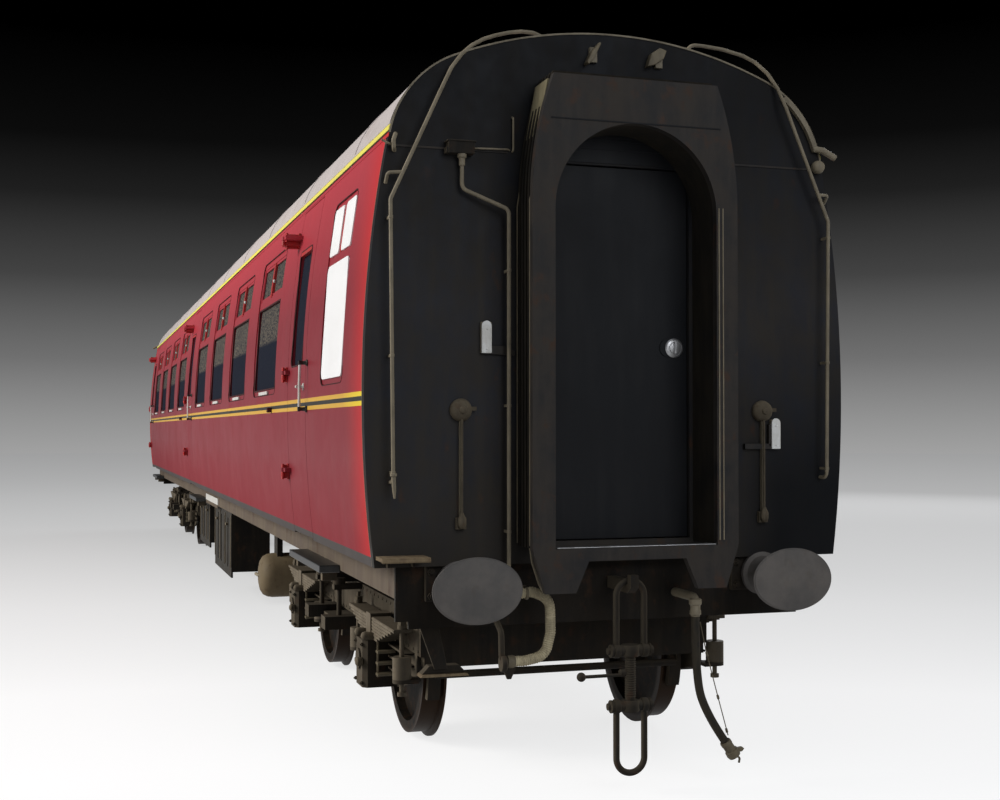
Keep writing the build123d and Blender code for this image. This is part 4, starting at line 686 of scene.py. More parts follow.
def grid_quads(rows, columns, wrap_rows=False, wrap_columns=False):
    """Quads of a grid of points numbered row by row, joined round where it wraps."""
    r = np.arange(rows if wrap_rows else rows - 1)
    c = np.arange(columns if wrap_columns else columns - 1)
    a, b = np.meshgrid(r, c, indexing="ij")
    below, beside = (a + 1) % rows, (b + 1) % columns
    quads = np.stack([a * columns + b, a * columns + beside, below * columns + beside, below * columns + b],
                     -1)
    return quads.reshape(-1, 4)


def repeat(shape, quads, centres):
    """The same shape set at each centre: point = centre + shape point."""
    centres = np.asarray(centres, float).reshape(-1, 3)
    points = (centres[:, None, :] + shape[None]).reshape(-1, 3)
    faces = quads[None] + (np.arange(len(centres)) * len(shape))[:, None, None]
    return points, faces.reshape(-1, quads.shape[1])


def lathe(profile, centres, axis, sides=24):
    """One profile of (radius, distance along the axis) turned about the axis at each centre.

    Point = centre + axis * distance + radius * (cos turn * first + sin turn * second).
    """
    along = np.asarray(axis, float) / np.linalg.norm(axis)
    other = np.array((0.0, 0.0, 1.0)) if abs(along[2]) < 0.9 else np.array((1.0, 0.0, 0.0))
    first = np.cross(other, along)
    first /= np.linalg.norm(first)
    second = np.cross(along, first)
    profile = np.asarray(profile, float)
    profile = np.vstack([[0.0, profile[0, 1]], profile, [0.0, profile[-1, 1]]])
    angle = np.linspace(0, 2 * np.pi, sides, endpoint=False)
    ring = np.cos(angle)[:, None] * first + np.sin(angle)[:, None] * second
    shape = (profile[:, None, 0, None] * ring[None] + profile[:, None, 1, None] * along).reshape(-1, 3)
    return repeat(shape, grid_quads(len(profile), sides, wrap_columns=True), centres)


def dome(radius, height, steps=8):
    """Profile of a shallow cap: radius * cos t against height * sin t."""
    t = np.linspace(0, np.pi / 2, steps)[:-1]
    return np.stack([radius * np.cos(t), height * np.sin(t)], 1)


def blocks(centres, sizes):
    """Rectangular blocks at each centre, each of its own size: centre + corner * size / 2."""
    centres = np.asarray(centres, float).reshape(-1, 3)
    sizes = np.broadcast_to(np.asarray(sizes, float), centres.shape)
    corner = np.array([(x, y, z) for z in (-1, 1) for y in (-1, 1) for x in (-1, 1)]) / 2
    points = (centres[:, None] + corner[None] * sizes[:, None]).reshape(-1, 3)
    quads = np.array([(0, 2, 3, 1), (4, 5, 7, 6), (0, 1, 5, 4), (2, 6, 7, 3), (0, 4, 6, 2), (1, 3, 7, 5)])
    return points, (quads[None] + (np.arange(len(centres)) * 8)[:, None, None]).reshape(-1, 4)


def prism(first, last):
    """Two outlines of as many points joined by quads and closed: the faces' numbers go round each outline."""
    count = len(first)
    faces = [tuple(q) for q in grid_quads(2, count, wrap_columns=True)]
    return np.vstack([first, last]), faces + [tuple(range(count)), tuple(range(count, 2 * count))]


def slab(loop, axis, low, high):
    """A flat outline of the two other axes, drawn out along an axis from low to high."""
    return prism(*[np.insert(np.asarray(loop, float), axis, place, axis=1) for place in (low, high)])


def carry(path, across, profile, closed=False):
    """A profile of (out, side) carried along a path, one profile for all or one a point.

    Point = path + out * across + side * (tangent x across). An open path gets its ends closed.
    """
    path = np.asarray(path, float)
    if closed:
        tangent = np.roll(path, -1, 0) - np.roll(path, 1, 0)
    else:
        tangent = np.gradient(path, axis=0)
    tangent /= np.linalg.norm(tangent, axis=1)[:, None]
    across = np.broadcast_to(np.asarray(across, float), path.shape)
    across = across - (across * tangent).sum(1)[:, None] * tangent
    across = across / np.linalg.norm(across, axis=1)[:, None]
    beside = np.cross(tangent, across)
    profile = np.asarray(profile, float)
    if profile.ndim == 2:
        profile = profile[None]
    points = path[:, None] + profile[..., :1] * across[:, None] + profile[..., 1:] * beside[:, None]
    rows, columns = len(path), points.shape[1]
    faces = [tuple(q) for q in grid_quads(rows, columns, wrap_rows=closed, wrap_columns=True)]
    if not closed:
        faces += [tuple(range(columns)), tuple(range((rows - 1) * columns, rows * columns))]
    return points.reshape(-1, 3), faces


def circle(radius, sides=12):
    """A round profile."""
    angle = np.linspace(0, 2 * np.pi, sides, endpoint=False)
    return np.stack([radius * np.cos(angle), radius * np.sin(angle)], 1)


def flat(width, depth):
    """A rectangular profile: width across the path, depth along the third way."""
    return np.array([(-width, -depth), (width, -depth), (width, depth), (-width, depth)]) / 2


def bent(points, bend, steps=7):
    """Straight lengths with rounded corners: each arc swings about its own centre from cut to cut."""
    points = np.asarray(points, float)
    run = [points[:1]]
    for before, here, after in zip(points, points[1:], points[2:]):
        u, v = before - here, after - here
        reach = min(np.linalg.norm(u), np.linalg.norm(v))
        u, v = u / np.linalg.norm(u), v / np.linalg.norm(v)
        half = np.arccos(np.clip(u @ v, -1, 1)) / 2
        cut = min(bend / np.tan(half), 0.48 * reach)
        middle = here + (u + v) / np.linalg.norm(u + v) * cut / np.cos(half)
        start, end = here + u * cut - middle, here + v * cut - middle
        swing = np.pi - 2 * half
        t = np.linspace(0, 1, steps)[:, None]
        run.append(middle + (np.sin((1 - t) * swing) * start + np.sin(t * swing) * end) / np.sin(swing))
    run.append(points[-1:])
    return np.vstack(run)


def pipe(points, radius, bend=0.05, sides=10):
    """A round bar or pipe along a run with rounded corners."""
    return carry(bent(points, bend), (0.31, 0.23, 0.92), circle(radius, sides))


def rounded_loop(width, height, corner, steps=6):
    """(across, up) points of a rounded rectangle about its middle, going round anticlockwise."""
    turn = np.linspace(0, np.pi / 2, steps)
    quarters = []
    for i, (sx, sz) in enumerate(((1, 1), (-1, 1), (-1, -1), (1, -1))):
        angle = turn + i * np.pi / 2
        quarters.append(np.stack([
            sx * (width / 2 - corner) + corner * np.cos(angle),
            sz * (height / 2 - corner) + corner * np.sin(angle),
        ], 1))
    return np.vstack(quarters)


def side_bead(x, width, foot, head, corner, radius, proud, side):
    """A round bead laid on the curved side about an opening: (x, side * half width at z, z)."""
    loop = rounded_loop(width, head - foot, corner)
    z = (foot + head) / 2 + loop[:, 1]
    path = np.stack([x + loop[:, 0], side * side_y(z, proud), z], 1)
    return carry(path, (0, side, 0), circle(radius, 8), closed=True)


def side_strip(foot, head, low_x, high_x, side, inner, outer, rows=5):
    """A closed strip that follows the side between two heights, drawn out along X."""
    z = np.linspace(foot, head, rows)
    loop = np.vstack([
        np.stack([side * side_y(z, outer), z], 1),
        np.stack([side * side_y(z, inner), z], 1)[::-1],
    ])
    return slab(loop, 0, low_x, high_x)

HOSE_X = 9.980
HOSE_Y = 0.375
BRAKE_ROUTE = (
    (HOSE_X, HOSE_Y, RAIL + 0.870),
    (HOSE_X, HOSE_Y, RAIL + 0.540),
    (HOSE_X, 0.435, RAIL + 0.345),
    (HOSE_X, 0.548, RAIL + 0.187),
)
HOSE_RADIUS = 0.022
HEAD_TURN = (0, 0.5817, -0.8134)


# Brake hoses first, as cords over their solids, by the route of the part's source
def make_brake_hose(name, end):
    """The hose as a round curve through its route's control points."""
    curve = bpy.data.curves.new(name, "CURVE")
    curve.dimensions = "3D"
    curve.bevel_depth = HOSE_RADIUS
    curve.bevel_resolution = 6
    curve.resolution_u = 12
    curve.use_fill_caps = True
    spline = curve.splines.new("NURBS")
    spline.points.add(len(BRAKE_ROUTE) - 1)
    for place, (x, y, z) in zip(spline.points, BRAKE_ROUTE):
        place.co = (end * x, end * y, z, 1)
    spline.order_u = 3
    spline.use_endpoint_u = True
    made = link(name, curve)
    curve.materials.append(HOSE_RUBBER)
    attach(made, "coach")
    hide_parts("brake_hoses")
    return made


def make_hose_head(name, end):
    """A coupling head turned along the last run: collar, waist and cupped mouth, with a lug and a hook."""
    last = np.array(BRAKE_ROUTE[-1])
    along = np.array(HEAD_TURN)
    profile = ((0.029, -0.004), (0.031, 0.0), (0.031, 0.018), (0.026, 0.022), (0.026, 0.052), (0.036, 0.058),
               (0.038, 0.080), (0.034, 0.095))
    lug = slab([(-0.012, -0.012), (0.05, -0.004), (0.062, 0.010), (0.05, 0.020), (-0.012, 0.014)], 0,
               -0.008, 0.008)
    lug = (lug[0] + last + along * 0.062 + (0, 0.01, 0.0), lug[1])
    hook = pipe([last + along * 0.08, last + along * 0.112 + (0, 0.02, 0),
                 last + along * 0.13 + (0, 0.004, -0.01)], 0.006, 0.012)
    head = turned([lathe(profile, [last], along), lug, hook], end)
    return add_piece(name, [head], TAN_STEEL, slot="steel_grey", smooth=40)


def make_brake_hoses():
    """Both hoses with their heads."""
    for place, end in ENDS:
        hose = make_brake_hose("brake_hose_" + place, end)
        head = make_hose_head("hose_coupling_head_" + place, end)


make_brake_hoses()


# Corrugated heating hoses, held at both ends
HEAT_X = 9.930
HEAT_HIGH = RAIL + 1.005
HEAT_LOW = RAIL + 0.665
HEAT_STEPS = 420
HEAT_RADIUS = 0.0262
HEAT_RIDGE = 0.0016
HEAT_PITCH = 0.0115


def make_heating_hose():
    """A bow of rounded runs in the plane of the end; radius = mean + ridge * cos of the run."""
    x, high, low = HEAT_X, HEAT_HIGH, HEAT_LOW
    line = bent([(x, -0.612, high), (x, -0.520, high + 0.012), (x, -0.424, high - 0.030),
                 (x, -0.420, high - 0.200), (x, -0.450, low + 0.020), (x, -0.560, low), (x, -0.652, low)],
                0.080, 10)
    gaps = np.concatenate([[0], np.cumsum(np.linalg.norm(np.diff(line, axis=0), axis=1))])
    run = np.linspace(0, gaps[-1], HEAT_STEPS)
    path = np.stack([np.interp(run, gaps, line[:, i]) for i in range(3)], 1)
    radius = HEAT_RADIUS + HEAT_RIDGE * np.cos(2 * np.pi * run / HEAT_PITCH)
    skin = carry(path, (1, 0, 0), radius[:, None, None] * circle(1.0, 18)[None])
    collar = ((0.024, -0.002), (0.031, 0.0), (0.033, 0.010), (0.033, 0.030), (0.029, 0.040), (0.022, 0.042))
    clip = ((0.029, 0.0), (0.032, 0.002), (0.032, 0.014), (0.029, 0.016))
    fittings = [
        lathe(collar, [(x, -0.628, high)], (0, 1, 0)),
        lathe(clip, [(x, -0.560, high + 0.004)], (0, 1, 0)),
        lathe(collar, [(x, -0.655, low)], (0, 1, 0)),
        lathe(((0.040, 0.0), (0.044, 0.006), (0.044, 0.022), (0.036, 0.030)), [(x, -0.690, low - 0.008)],
              (0, 1, 0)),
        pipe([(x, -0.612, low), (x, -0.683, low), (x - 0.010, -0.683, low + 0.150),
              (9.760, -0.683, low + 0.240)], 0.016, 0.04),
        slab([(-0.690, low - 0.004), (-0.600, low - 0.010), (-0.635, low - 0.088), (-0.655, low - 0.088)],
             0, x - 0.008, x + 0.008),
        blocks([(x, -0.560, high + 0.036)], [(0.02, 0.016, 0.018)]),
    ]
    hose = end_piece("heating_hose_skins", [skin], HEAT_HOSE, slot="hose_rubber", smooth=60)
    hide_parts("heating_hoses")
    ends = end_piece("heating_hose_fittings", fittings[3:], BOGIE_PAINT, smooth=35)
    clips = end_piece("heating_hose_collars", fittings[:3], TAN_STEEL, smooth=35)
    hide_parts("heating_hoses")
    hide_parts("heating_hoses")


make_heating_hose()

# Sides
LINE_FOOT = CANT + 0.012
LINE_HEAD = LINE_FOOT + 0.032
SHADE_FOOT = LINE_FOOT - 0.009
ROOF_STEPS = 60


def roof_line(proud, steps=ROOF_STEPS):
    """(y, z) along the roof's three arcs from one cantrail to the other, a distance outside the skin."""
    turn = math.asin(ROOF_TURN / ROOF_RADIUS)
    crown = ROOF - ROOF_RADIUS
    turn_y, turn_z = ROOF_RADIUS * math.sin(turn), crown + ROOF_RADIUS * math.cos(turn)
    reach_y, reach_z = float(side_y(CANT)) - turn_y, CANT - turn_z
    along = reach_y * math.sin(turn) + reach_z * math.cos(turn)
    corner = -(reach_y ** 2 + reach_z ** 2) / (2 * along)
    centre_y, centre_z = turn_y - corner * math.sin(turn), turn_z - corner * math.cos(turn)
    last = math.acos((CANT - centre_z) / corner)
    small = np.linspace(last, turn, steps // 3)
    large = np.linspace(turn, 0, steps // 2)[1:]
    half = np.vstack([np.stack([centre_y + (corner + proud) * np.sin(small),
                                centre_z + (corner + proud) * np.cos(small)], 1),
                      np.stack([(ROOF_RADIUS + proud) * np.sin(large),
                                crown + (ROOF_RADIUS + proud) * np.cos(large)], 1),])
    return np.vstack([half, (half * (-1, 1))[-2::-1]])


def shoulder_strip(foot, head, side, inner, outer):
    """A strip the length of the coach, on the side's and the roof's curve between two heights."""
    curve = roof_line(0.0)[:ROOF_STEPS // 3]
    z = np.linspace(foot, head, 5)
    y = np.where(z < CANT, side_y(z), np.interp(z, curve[:, 1], curve[:, 0]))
    loop = np.vstack([np.stack([side * (y + outer), z], 1), np.stack([side * (y + inner), z], 1)[::-1]])
    return slab(loop, 0, -END_X, END_X)


def make_side_trim():
    """The yellow cantrail lines with a dark under edge, the panel strips below and the gutters above them."""
    for name, foot, head, inner, outer, material, slot in (
        ("cantrail_lines", LINE_FOOT, LINE_HEAD, -0.002, 0.008, YELLOW_PAINT, None),
        ("cantrail_shade_strips", SHADE_FOOT, LINE_FOOT, -0.002, 0.006, SHADE_PAINT, None),
        ("cantrail_panels", CANT - 0.020, SHADE_FOOT, -0.002, 0.0025, SIDE_PAINT, "maroon"),
        ("gutters", LINE_HEAD, LINE_FOOT + 0.044, -0.004, 0.010, ROOF_PAINT, "roof_grey"),
    ):
        add_piece(name, [shoulder_strip(foot, head, s, inner, outer) for s in SIDES], material, slot=slot)


def make_window_trim():
    """Seams and glazing rubbers round the windows, white foot plates, and the vents' latches."""
    seams = [side_bead(x, w, WINDOW_FOOT, WINDOW_HEAD, WINDOW_CORNER, 0.0035, -0.001, s)
             for x, w in ALL_WINDOWS for s in SIDES]
    add_piece("window_seams", seams, SEAM_PAINT, smooth=60)
    rubbers = [side_bead(x, w - 2 * WINDOW_EDGE, WINDOW_FOOT + WINDOW_EDGE, TRANSOM - 0.035, 0.025, 0.0065,
                         -0.008, s) for x, w in ALL_WINDOWS for s in SIDES]
    add_piece("glazing_rubbers", rubbers, SEAM_PAINT, smooth=60)
    plates = [side_strip(WINDOW_FOOT + 0.006, WINDOW_FOOT + 0.030, x - 0.23, x + 0.23, s, -0.006, 0.007)
              for x in WINDOWS for s in SIDES]
    add_piece("window_foot_plates", plates, WHITE_PAINT, slot="white_paint")
    z = TRANSOM + 0.150
    knobs = [lathe(((0.010, 0.0), (0.013, 0.004), (0.012, 0.012), (0.006, 0.017)),
                   [(x + 0.075, s * (float(side_y(z)) - 0.012), z) for x in WINDOWS], (0, s, 0), 12)
             for s in SIDES]
    add_piece("vent_latches", knobs, WHITE_PAINT, slot="white_paint", smooth=50)


def side_panel(x, width, foot, head, corner, inner, outer, side):
    """A flush curved panel: a rounded rectangle in (x, z), laid on the side's curve at two depths."""
    loop = rounded_loop(width, head - foot, corner)
    z = (foot + head) / 2 + loop[:, 1]
    return prism(*[np.stack([x + loop[:, 0], side * side_y(z, proud), z], 1) for proud in (inner, outer)])


# Foot and head of the vents' uprights, and how far uprights and panes stand inside and outside the skin
VENT = (TRANSOM + 0.030, WINDOW_HEAD - 0.050)
BAR_FACES = (-0.030, -0.004)
PANE_FACES = (-0.020, 0.0015)


def make_vent_uprights():
    """Red meeting uprights of the sliding vents, and the flush obscured panes of the lavatory windows."""
    bars = []
    for side in SIDES:
        for x in WINDOWS:
            bars += [side_strip(*VENT, x + dx - 0.013, x + dx + 0.013, side, *BAR_FACES)
                     for dx in (-0.018, 0.018)]
        bars.append(side_strip(*VENT, LAVATORY[0] - 0.026, LAVATORY[0] + 0.026, side, *BAR_FACES))
    add_piece("vent_uprights", bars, RED_PAINT, slot="vent_red")
    panes = []
    x, half = LAVATORY[0], LAVATORY[1] / 2
    for side in SIDES:
        panes.append(side_panel(x, 2 * half - 0.064, WINDOW_FOOT + 0.036, TRANSOM - 0.028, 0.045,
                                *PANE_FACES, side))
        for way in (-1, 1):
            panes.append(side_panel(x + way * (half / 2 + 0.002), half - 0.068, TRANSOM + 0.028,
                                    WINDOW_HEAD - 0.036, 0.030, *PANE_FACES, side))
    add_piece("lavatory_panes", panes, OBSCURED, slot="glass", smooth=30)


HINGE_Y = 1.400
HINGES = ((RAIL + 1.560, 0.105), (RAIL + 2.220, 0.105), (RAIL + 3.140, 0.115))


def make_hinge_brackets():
    """The side doors' fixed hinge brackets: two upright flanges with a web between, from skin to axis."""
    centres, sizes = [], []
    for side in SIDES:
        for _, door_x in DOORS:
            hinge_x = door_x + side * DOOR_WIDTH / 2
            for z, high in HINGES:
                skin = float(side_y(z))
                reach = min(HINGE_Y - 0.004 - skin, 0.090)
                middle = hinge_x + side * 0.042
                centres += [(middle, side * (skin + reach / 2), z), (middle, side * (skin + reach), z),
                            (middle, side * (skin + 0.004), z)]
                sizes += [(0.014, reach, high * 0.88), (0.048, 0.014, high), (0.060, 0.014, high)]
    add_piece("hinge_brackets", [blocks(centres, sizes)], RED_PAINT, slot="vent_red", bevel=0.003)


def make_door_stops():
    """Rubber stops on the side where each open door's edge comes."""
    centres = []
    for side in SIDES:
        for _, door_x in DOORS:
            x = door_x + side * (DOOR_WIDTH / 2 + 0.775)
            if abs(x) < SHELL_X:
                centres.append((x, side * (float(side_y(RAIL + 1.990)) + 0.016), RAIL + 1.990))
    add_piece("door_stops", [blocks(centres, (0.045, 0.036, 0.036))], SEAM_PAINT, slot="vent_red",
              bevel=0.005)


def make_grab_rails():
    """A bowed upright rail beside the free edge of each side door, on two dark knobs."""
    rails, knobs = [], []
    low_z, high_z = RAIL + 1.975, RAIL + 2.265
    for side in SIDES:
        for _, door_x in DOORS:
            x = door_x - side * (DOOR_WIDTH / 2 + 0.060)
            z = np.linspace(low_z, high_z, 9)
            bow = np.stack([np.full(len(z), x), side * (side_y(z) + 0.048), z], 1)
            rails.append(carry(bow, (1, 0, 0), circle(0.009, 10)))
            for end_z in (low_z, high_z):
                skin = (x, side * float(side_y(end_z)), end_z)
                knobs.append(lathe(((0.020, 0.0), (0.022, 0.006), (0.013, 0.014), (0.012, 0.040),
                                    (0.016, 0.046), (0.014, 0.058)), [skin], (0, side, 0), 14))
    add_piece("grab_rails", rails, WHITE_PAINT, slot="white_paint", smooth=60)
    add_piece("grab_rail_knobs", knobs, DARK_IRON, slot="hose_rubber", smooth=50)


def make_door_dressing():
    """On each side door: a bead round the drop light, a red ledge at its head and a turning handle."""
    foot, head, width, corner = DOOR_LIGHT
    z = RAIL + 2.120
    for side, side_name in ((-1, "left"), (1, "right")):
        for door_name, x in DOORS:
            body = "door_" + door_name + "_" + side_name
            add_piece(body + "_light_bead", [side_bead(x, width, foot, head, corner, 0.0055, 0.0, side)],
                      SEAM_PAINT, body, smooth=60)
            ledge = side_strip(head - 0.030, head - 0.006, x - width / 2 + 0.02, x + width / 2 - 0.02, side,
                               -0.030, 0.004)
            add_piece(body + "_light_ledge", [ledge], RED_PAINT, body, "vent_red")
            handle_x, y = x - side * (DOOR_WIDTH / 2 - 0.070), side * float(side_y(z))
            rose = lathe(((0.022, -0.002), (0.022, 0.005), (0.010, 0.009), (0.010, 0.040), (0.004, 0.044)),
                         [(handle_x, y, z)], (0, side, 0), 16)
            grip = pipe([(handle_x - 0.060, y + side * 0.036, z), (handle_x, y + side * 0.042, z),
                         (handle_x + 0.020, y + side * 0.042, z)], 0.010, 0.02)
            add_piece(body + "_handle", [rose, grip], WHITE_PAINT, body, "white_paint", smooth=50)


for make in (make_side_trim, make_window_trim, make_vent_uprights, make_hinge_brackets, make_door_stops,
             make_grab_rails, make_door_dressing):
    make()


# Roof
def make_roof():
    """Cover strips over the roof seams: the roof line, inside and outside, drawn out by the strip's width."""
    loop = np.vstack([roof_line(0.004), roof_line(-0.002)[::-1]])
    strips = [slab(loop, 0, x - 0.018, x + 0.018) for x in np.linspace(0.9 - SHELL_X, SHELL_X - 0.9, 11)]
    add_piece("roof_seam_strips", strips, ROOF_PAINT, slot="roof_grey", smooth=30)
    lip = np.vstack([roof_line(0.003), roof_line(-0.006)[::-1]])
    end_piece("roof_end_lips", [slab(lip, 0, END_X - 0.004, END_X + 0.006)], PIPE_PAINT, slot="roof_grey",
              smooth=30)


make_roof()


# Ends, drawn for the front and turned for the rear
def make_end_seams():
    """Cover strips over the end's plate joints, and two thin bent rods left of the gangway."""
    x = END_X + 0.002
    strips = blocks([(x, -0.930, 3.327), (x, 0.925, 3.340)], (0.008, 0.640, 0.010))
    end_piece("end_seam_strips", [strips], GANGWAY_PAINT, slot="end_black")
    rods = [
        pipe([(x, -0.585, 3.330), (x + 0.018, -0.585, 3.336), (x + 0.018, -0.585, 3.505),
              (x, -0.585, 3.512)], 0.005, 0.01),
        pipe([(x, -0.600, 3.338), (x + 0.018, -0.620, 3.338), (x + 0.018, -0.780, 3.334),
              (x, -0.800, 3.334)], 0.005, 0.01),
    ]
    end_piece("end_rods", rods, PIPE_PAINT, smooth=60)


CORNER_CLIPS = ((1.251, 2.95), (1.243, 2.25), (1.236, 1.66))
ALARM_CLIPS = (2.70, 2.00, 1.35)
CLIP_OUT = 0.070


def make_pipe_clips():
    """Saddles of the pipes, each a collar on a stub into the wall, the bars' top stays and a drain cock."""
    x = END_X
    parts = []
    for y, z in [(s * y, z) for s in SIDES for y, z in CORNER_CLIPS] + [(-0.625, z) for z in ALARM_CLIPS]:
        parts.append(blocks([(x + 0.034, y, z)], [(0.070, 0.010, 0.014)]))
        parts.append(lathe(((0.009, -0.009), (0.0125, -0.007), (0.0125, 0.007), (0.009, 0.009)),
                           [(x + CLIP_OUT, y, z)], (0, 0, 1), 12))
    for s, top, bend, foot in ((-1, 3.180, 3.176, 3.130), (1, 3.186, 3.190, 3.150)):
        parts.append(pipe([(x + CLIP_OUT, s * 1.185, top), (x + 0.050, s * 1.262, bend),
                           (x + 0.004, s * 1.264, foot)], 0.009, 0.02))
    parts.append(lathe(((0.010, 0.0), (0.018, 0.004), (0.018, 0.016), (0.012, 0.022), (0.010, 0.090),
                        (0.005, 0.130)), [(x + CLIP_OUT, -1.235, 1.660)], (0, 0.05, -1), 14))
    end_piece("pipe_clips", parts, PIPE_PAINT, smooth=40)


def make_corner_brackets():
    """A lamp bracket at the left shoulder, and on the right a strap round the shoulder to an arm and knob."""
    x = END_X + 0.004
    line = roof_line(-0.030, 90)
    right = line[(line[:, 0] > 0.99) & (line[:, 1] > 3.44)]
    path = np.column_stack([np.full(len(right), x + 0.012), right])
    strap = carry(path, (1, 0, 0), flat(0.026, 0.022))
    left = pipe([(x, -1.212, 3.385), (x + 0.036, -1.220, 3.376), (x + 0.042, -1.232, 3.345),
                 (x + 0.034, -1.228, 3.312), (x, -1.218, 3.300)], 0.011, 0.016)
    hook = pipe([(x, -1.225, 3.330), (x + 0.030, -1.262, 3.330), (x + 0.030, -1.290, 3.345)], 0.006, 0.01)
    arm = pipe([(x + 0.010, 1.195, 3.455), (x + 0.030, 1.240, 3.445), (x + 0.034, 1.318, 3.405)], 0.018, 0.02)
    knob = lathe(((0.016, 0.0), (0.034, 0.010), (0.038, 0.030), (0.030, 0.052), (0.014, 0.060)),
                 [(x, 1.212, 3.350)], (1, 0, 0), 18)
    end_piece("shoulder_brackets", [strap, left, hook, arm, knob], PIPE_PAINT, smooth=45)


def make_alarm_box():
    """The alarm box over its solid: a box with a lid and a side ear, and a tapered union below."""
    x = END_X
    box = slab([(-0.945, 3.296), (-0.805, 3.296), (-0.805, 3.354), (-0.818, 3.366), (-0.932, 3.366),
                (-0.945, 3.354)], 0, x, x + 0.060)
    lid = blocks([(x + 0.030, -0.875, 3.360), (x + 0.030, -0.950, 3.312)],
                 [(0.072, 0.156, 0.008), (0.050, 0.012, 0.034)])
    union = lathe(((0.024, 0.0), (0.024, 0.018), (0.016, 0.026), (0.016, 0.060), (0.012, 0.064)),
                  [(x + 0.035, -0.868, 3.298)], (0, 0, -1), 16)
    end_piece("alarm_box_cover", [box, lid], BOGIE_PAINT, slot="end_black", bevel=0.003)
    end_piece("alarm_pipe_unions", [union], PIPE_PAINT, smooth=40)


IRONS = ((-0.732, 2.354), (0.943, 1.852))
IRON_HALF = 0.027


def make_lamp_irons():
    """White lamp irons with rounded heads, their foot bolts, and the dark arms that brace them."""
    turn = np.linspace(0, np.pi, 12)
    parts, arms, bolts = [], [], []
    for y, z in IRONS:
        head = np.stack([y + IRON_HALF * np.cos(turn), z + 0.060 + IRON_HALF * np.sin(turn)], 1)
        loop = np.vstack([head, [(y - IRON_HALF, z - 0.082), (y + IRON_HALF, z - 0.082)]])
        parts.append(slab(loop, 0, END_X + 0.018, END_X + 0.032))
        bolts += [(END_X + 0.032, y, z - 0.060), (END_X + 0.032, y, z + 0.045)]
    arms.append(slab([(-0.705, 2.268), (-0.575, 2.262), (-0.575, 2.286), (-0.640, 2.312), (-0.705, 2.312)],
                     0, END_X, END_X + 0.020))
    arms.append(blocks([(END_X + 0.012, 0.850, 1.784), (END_X + 0.012, 0.912, 1.846)],
                       [(0.022, 0.190, 0.030), (0.022, 0.020, 0.120)]))
    end_piece("lamp_irons", parts, WHITE_PAINT, slot="white_paint", bevel=0.003)
    end_piece("lamp_iron_arms", arms, GANGWAY_PAINT, bevel=0.002)
    end_piece("lamp_iron_bolts", [lathe(dome(0.007, 0.004, 4), bolts, (1, 0, 0), 8)], WHITE_PAINT,
              slot="white_paint", smooth=50)


def make_valves():
    """Domed valve caps with a centre boss, and the rod that hangs from each with a weight and a guide."""
    x = END_X
    caps, rods = [], []
    for y in (-0.866, 0.866):
        caps.append(lathe(((0.058, 0.0), (0.060, 0.010), (0.054, 0.030), (0.040, 0.042), (0.020, 0.048),
                           (0.016, 0.058), (0.006, 0.062)), [(x, y, 1.978)], (1, 0, 0), 28))
        rods.append(pipe([(x + 0.034, y, 1.930), (x + 0.034, y, 1.430)], 0.0055, 0.01))
        rods.append(lathe(((0.009, 0.0), (0.011, 0.008), (0.022, 0.030), (0.022, 0.060), (0.014, 0.078),
                           (0.006, 0.084)), [(x + 0.034, y, 1.450)], (0, 0, -1), 14))
        rods.append(blocks([(x + 0.012, y, 1.395), (x + 0.014, y + 0.055, 1.985)],
                           [(0.026, 0.052, 0.060), (0.028, 0.050, 0.020)]))
    end_piece("valve_caps", caps, TAN_DUST_AND_LIGHT, smooth=40)
    end_piece("valve_rods", rods, TAN_DUST_AND_LIGHT, smooth=40)


def make_lifting_lugs():
    """The tapered lugs over the gangway, each a bent plate seen edge on."""
    x = END_X
    left = slab([(-0.176, 3.812), (-0.146, 3.846), (-0.104, 3.930), (-0.112, 3.938), (-0.156, 3.884),
                 (-0.184, 3.826)], 0, x, x + 0.060)
    right = slab([(0.168, 3.832), (0.206, 3.842), (0.262, 3.880), (0.280, 3.925), (0.240, 3.938),
                  (0.192, 3.905)], 0, x, x + 0.050)
    end_piece("lifting_lugs", [left, right], TAN_STEEL, bevel=0.004)


for make in (make_end_seams, make_pipe_clips, make_corner_brackets, make_alarm_box, make_lamp_irons,
             make_valves, make_lifting_lugs):
    make()


PIPE_X = 9.870
STUB_X = 9.726
LEFT_BAR = (
    (9.700, -0.340, 3.985), (9.705, -0.436, 4.000), (9.710, -0.505, 3.999),
    (9.720, -0.576, 3.984), (9.735, -0.650, 3.960), (9.755, -0.725, 3.928),
    (9.780, -0.798, 3.882), (9.805, -0.861, 3.824), (9.835, -0.924, 3.742), (9.870, -0.989, 3.615),
)
RIGHT_BAR = (
    (9.700, 0.437, 4.007), (9.705, 0.498, 4.014), (9.710, 0.569, 4.012),
    (9.720, 0.678, 4.000), (9.740, 0.794, 3.969), (9.765, 0.856, 3.931),
    (9.800, 0.914, 3.864), (9.835, 0.958, 3.775), (9.870, 0.991, 3.660),
)


def crown_height(y):
    """Height of the crown's arc: centre + the square root of (radius squared - y squared)."""
    return ROOF - ROOF_RADIUS + math.sqrt(ROOF_RADIUS ** 2 - y ** 2)


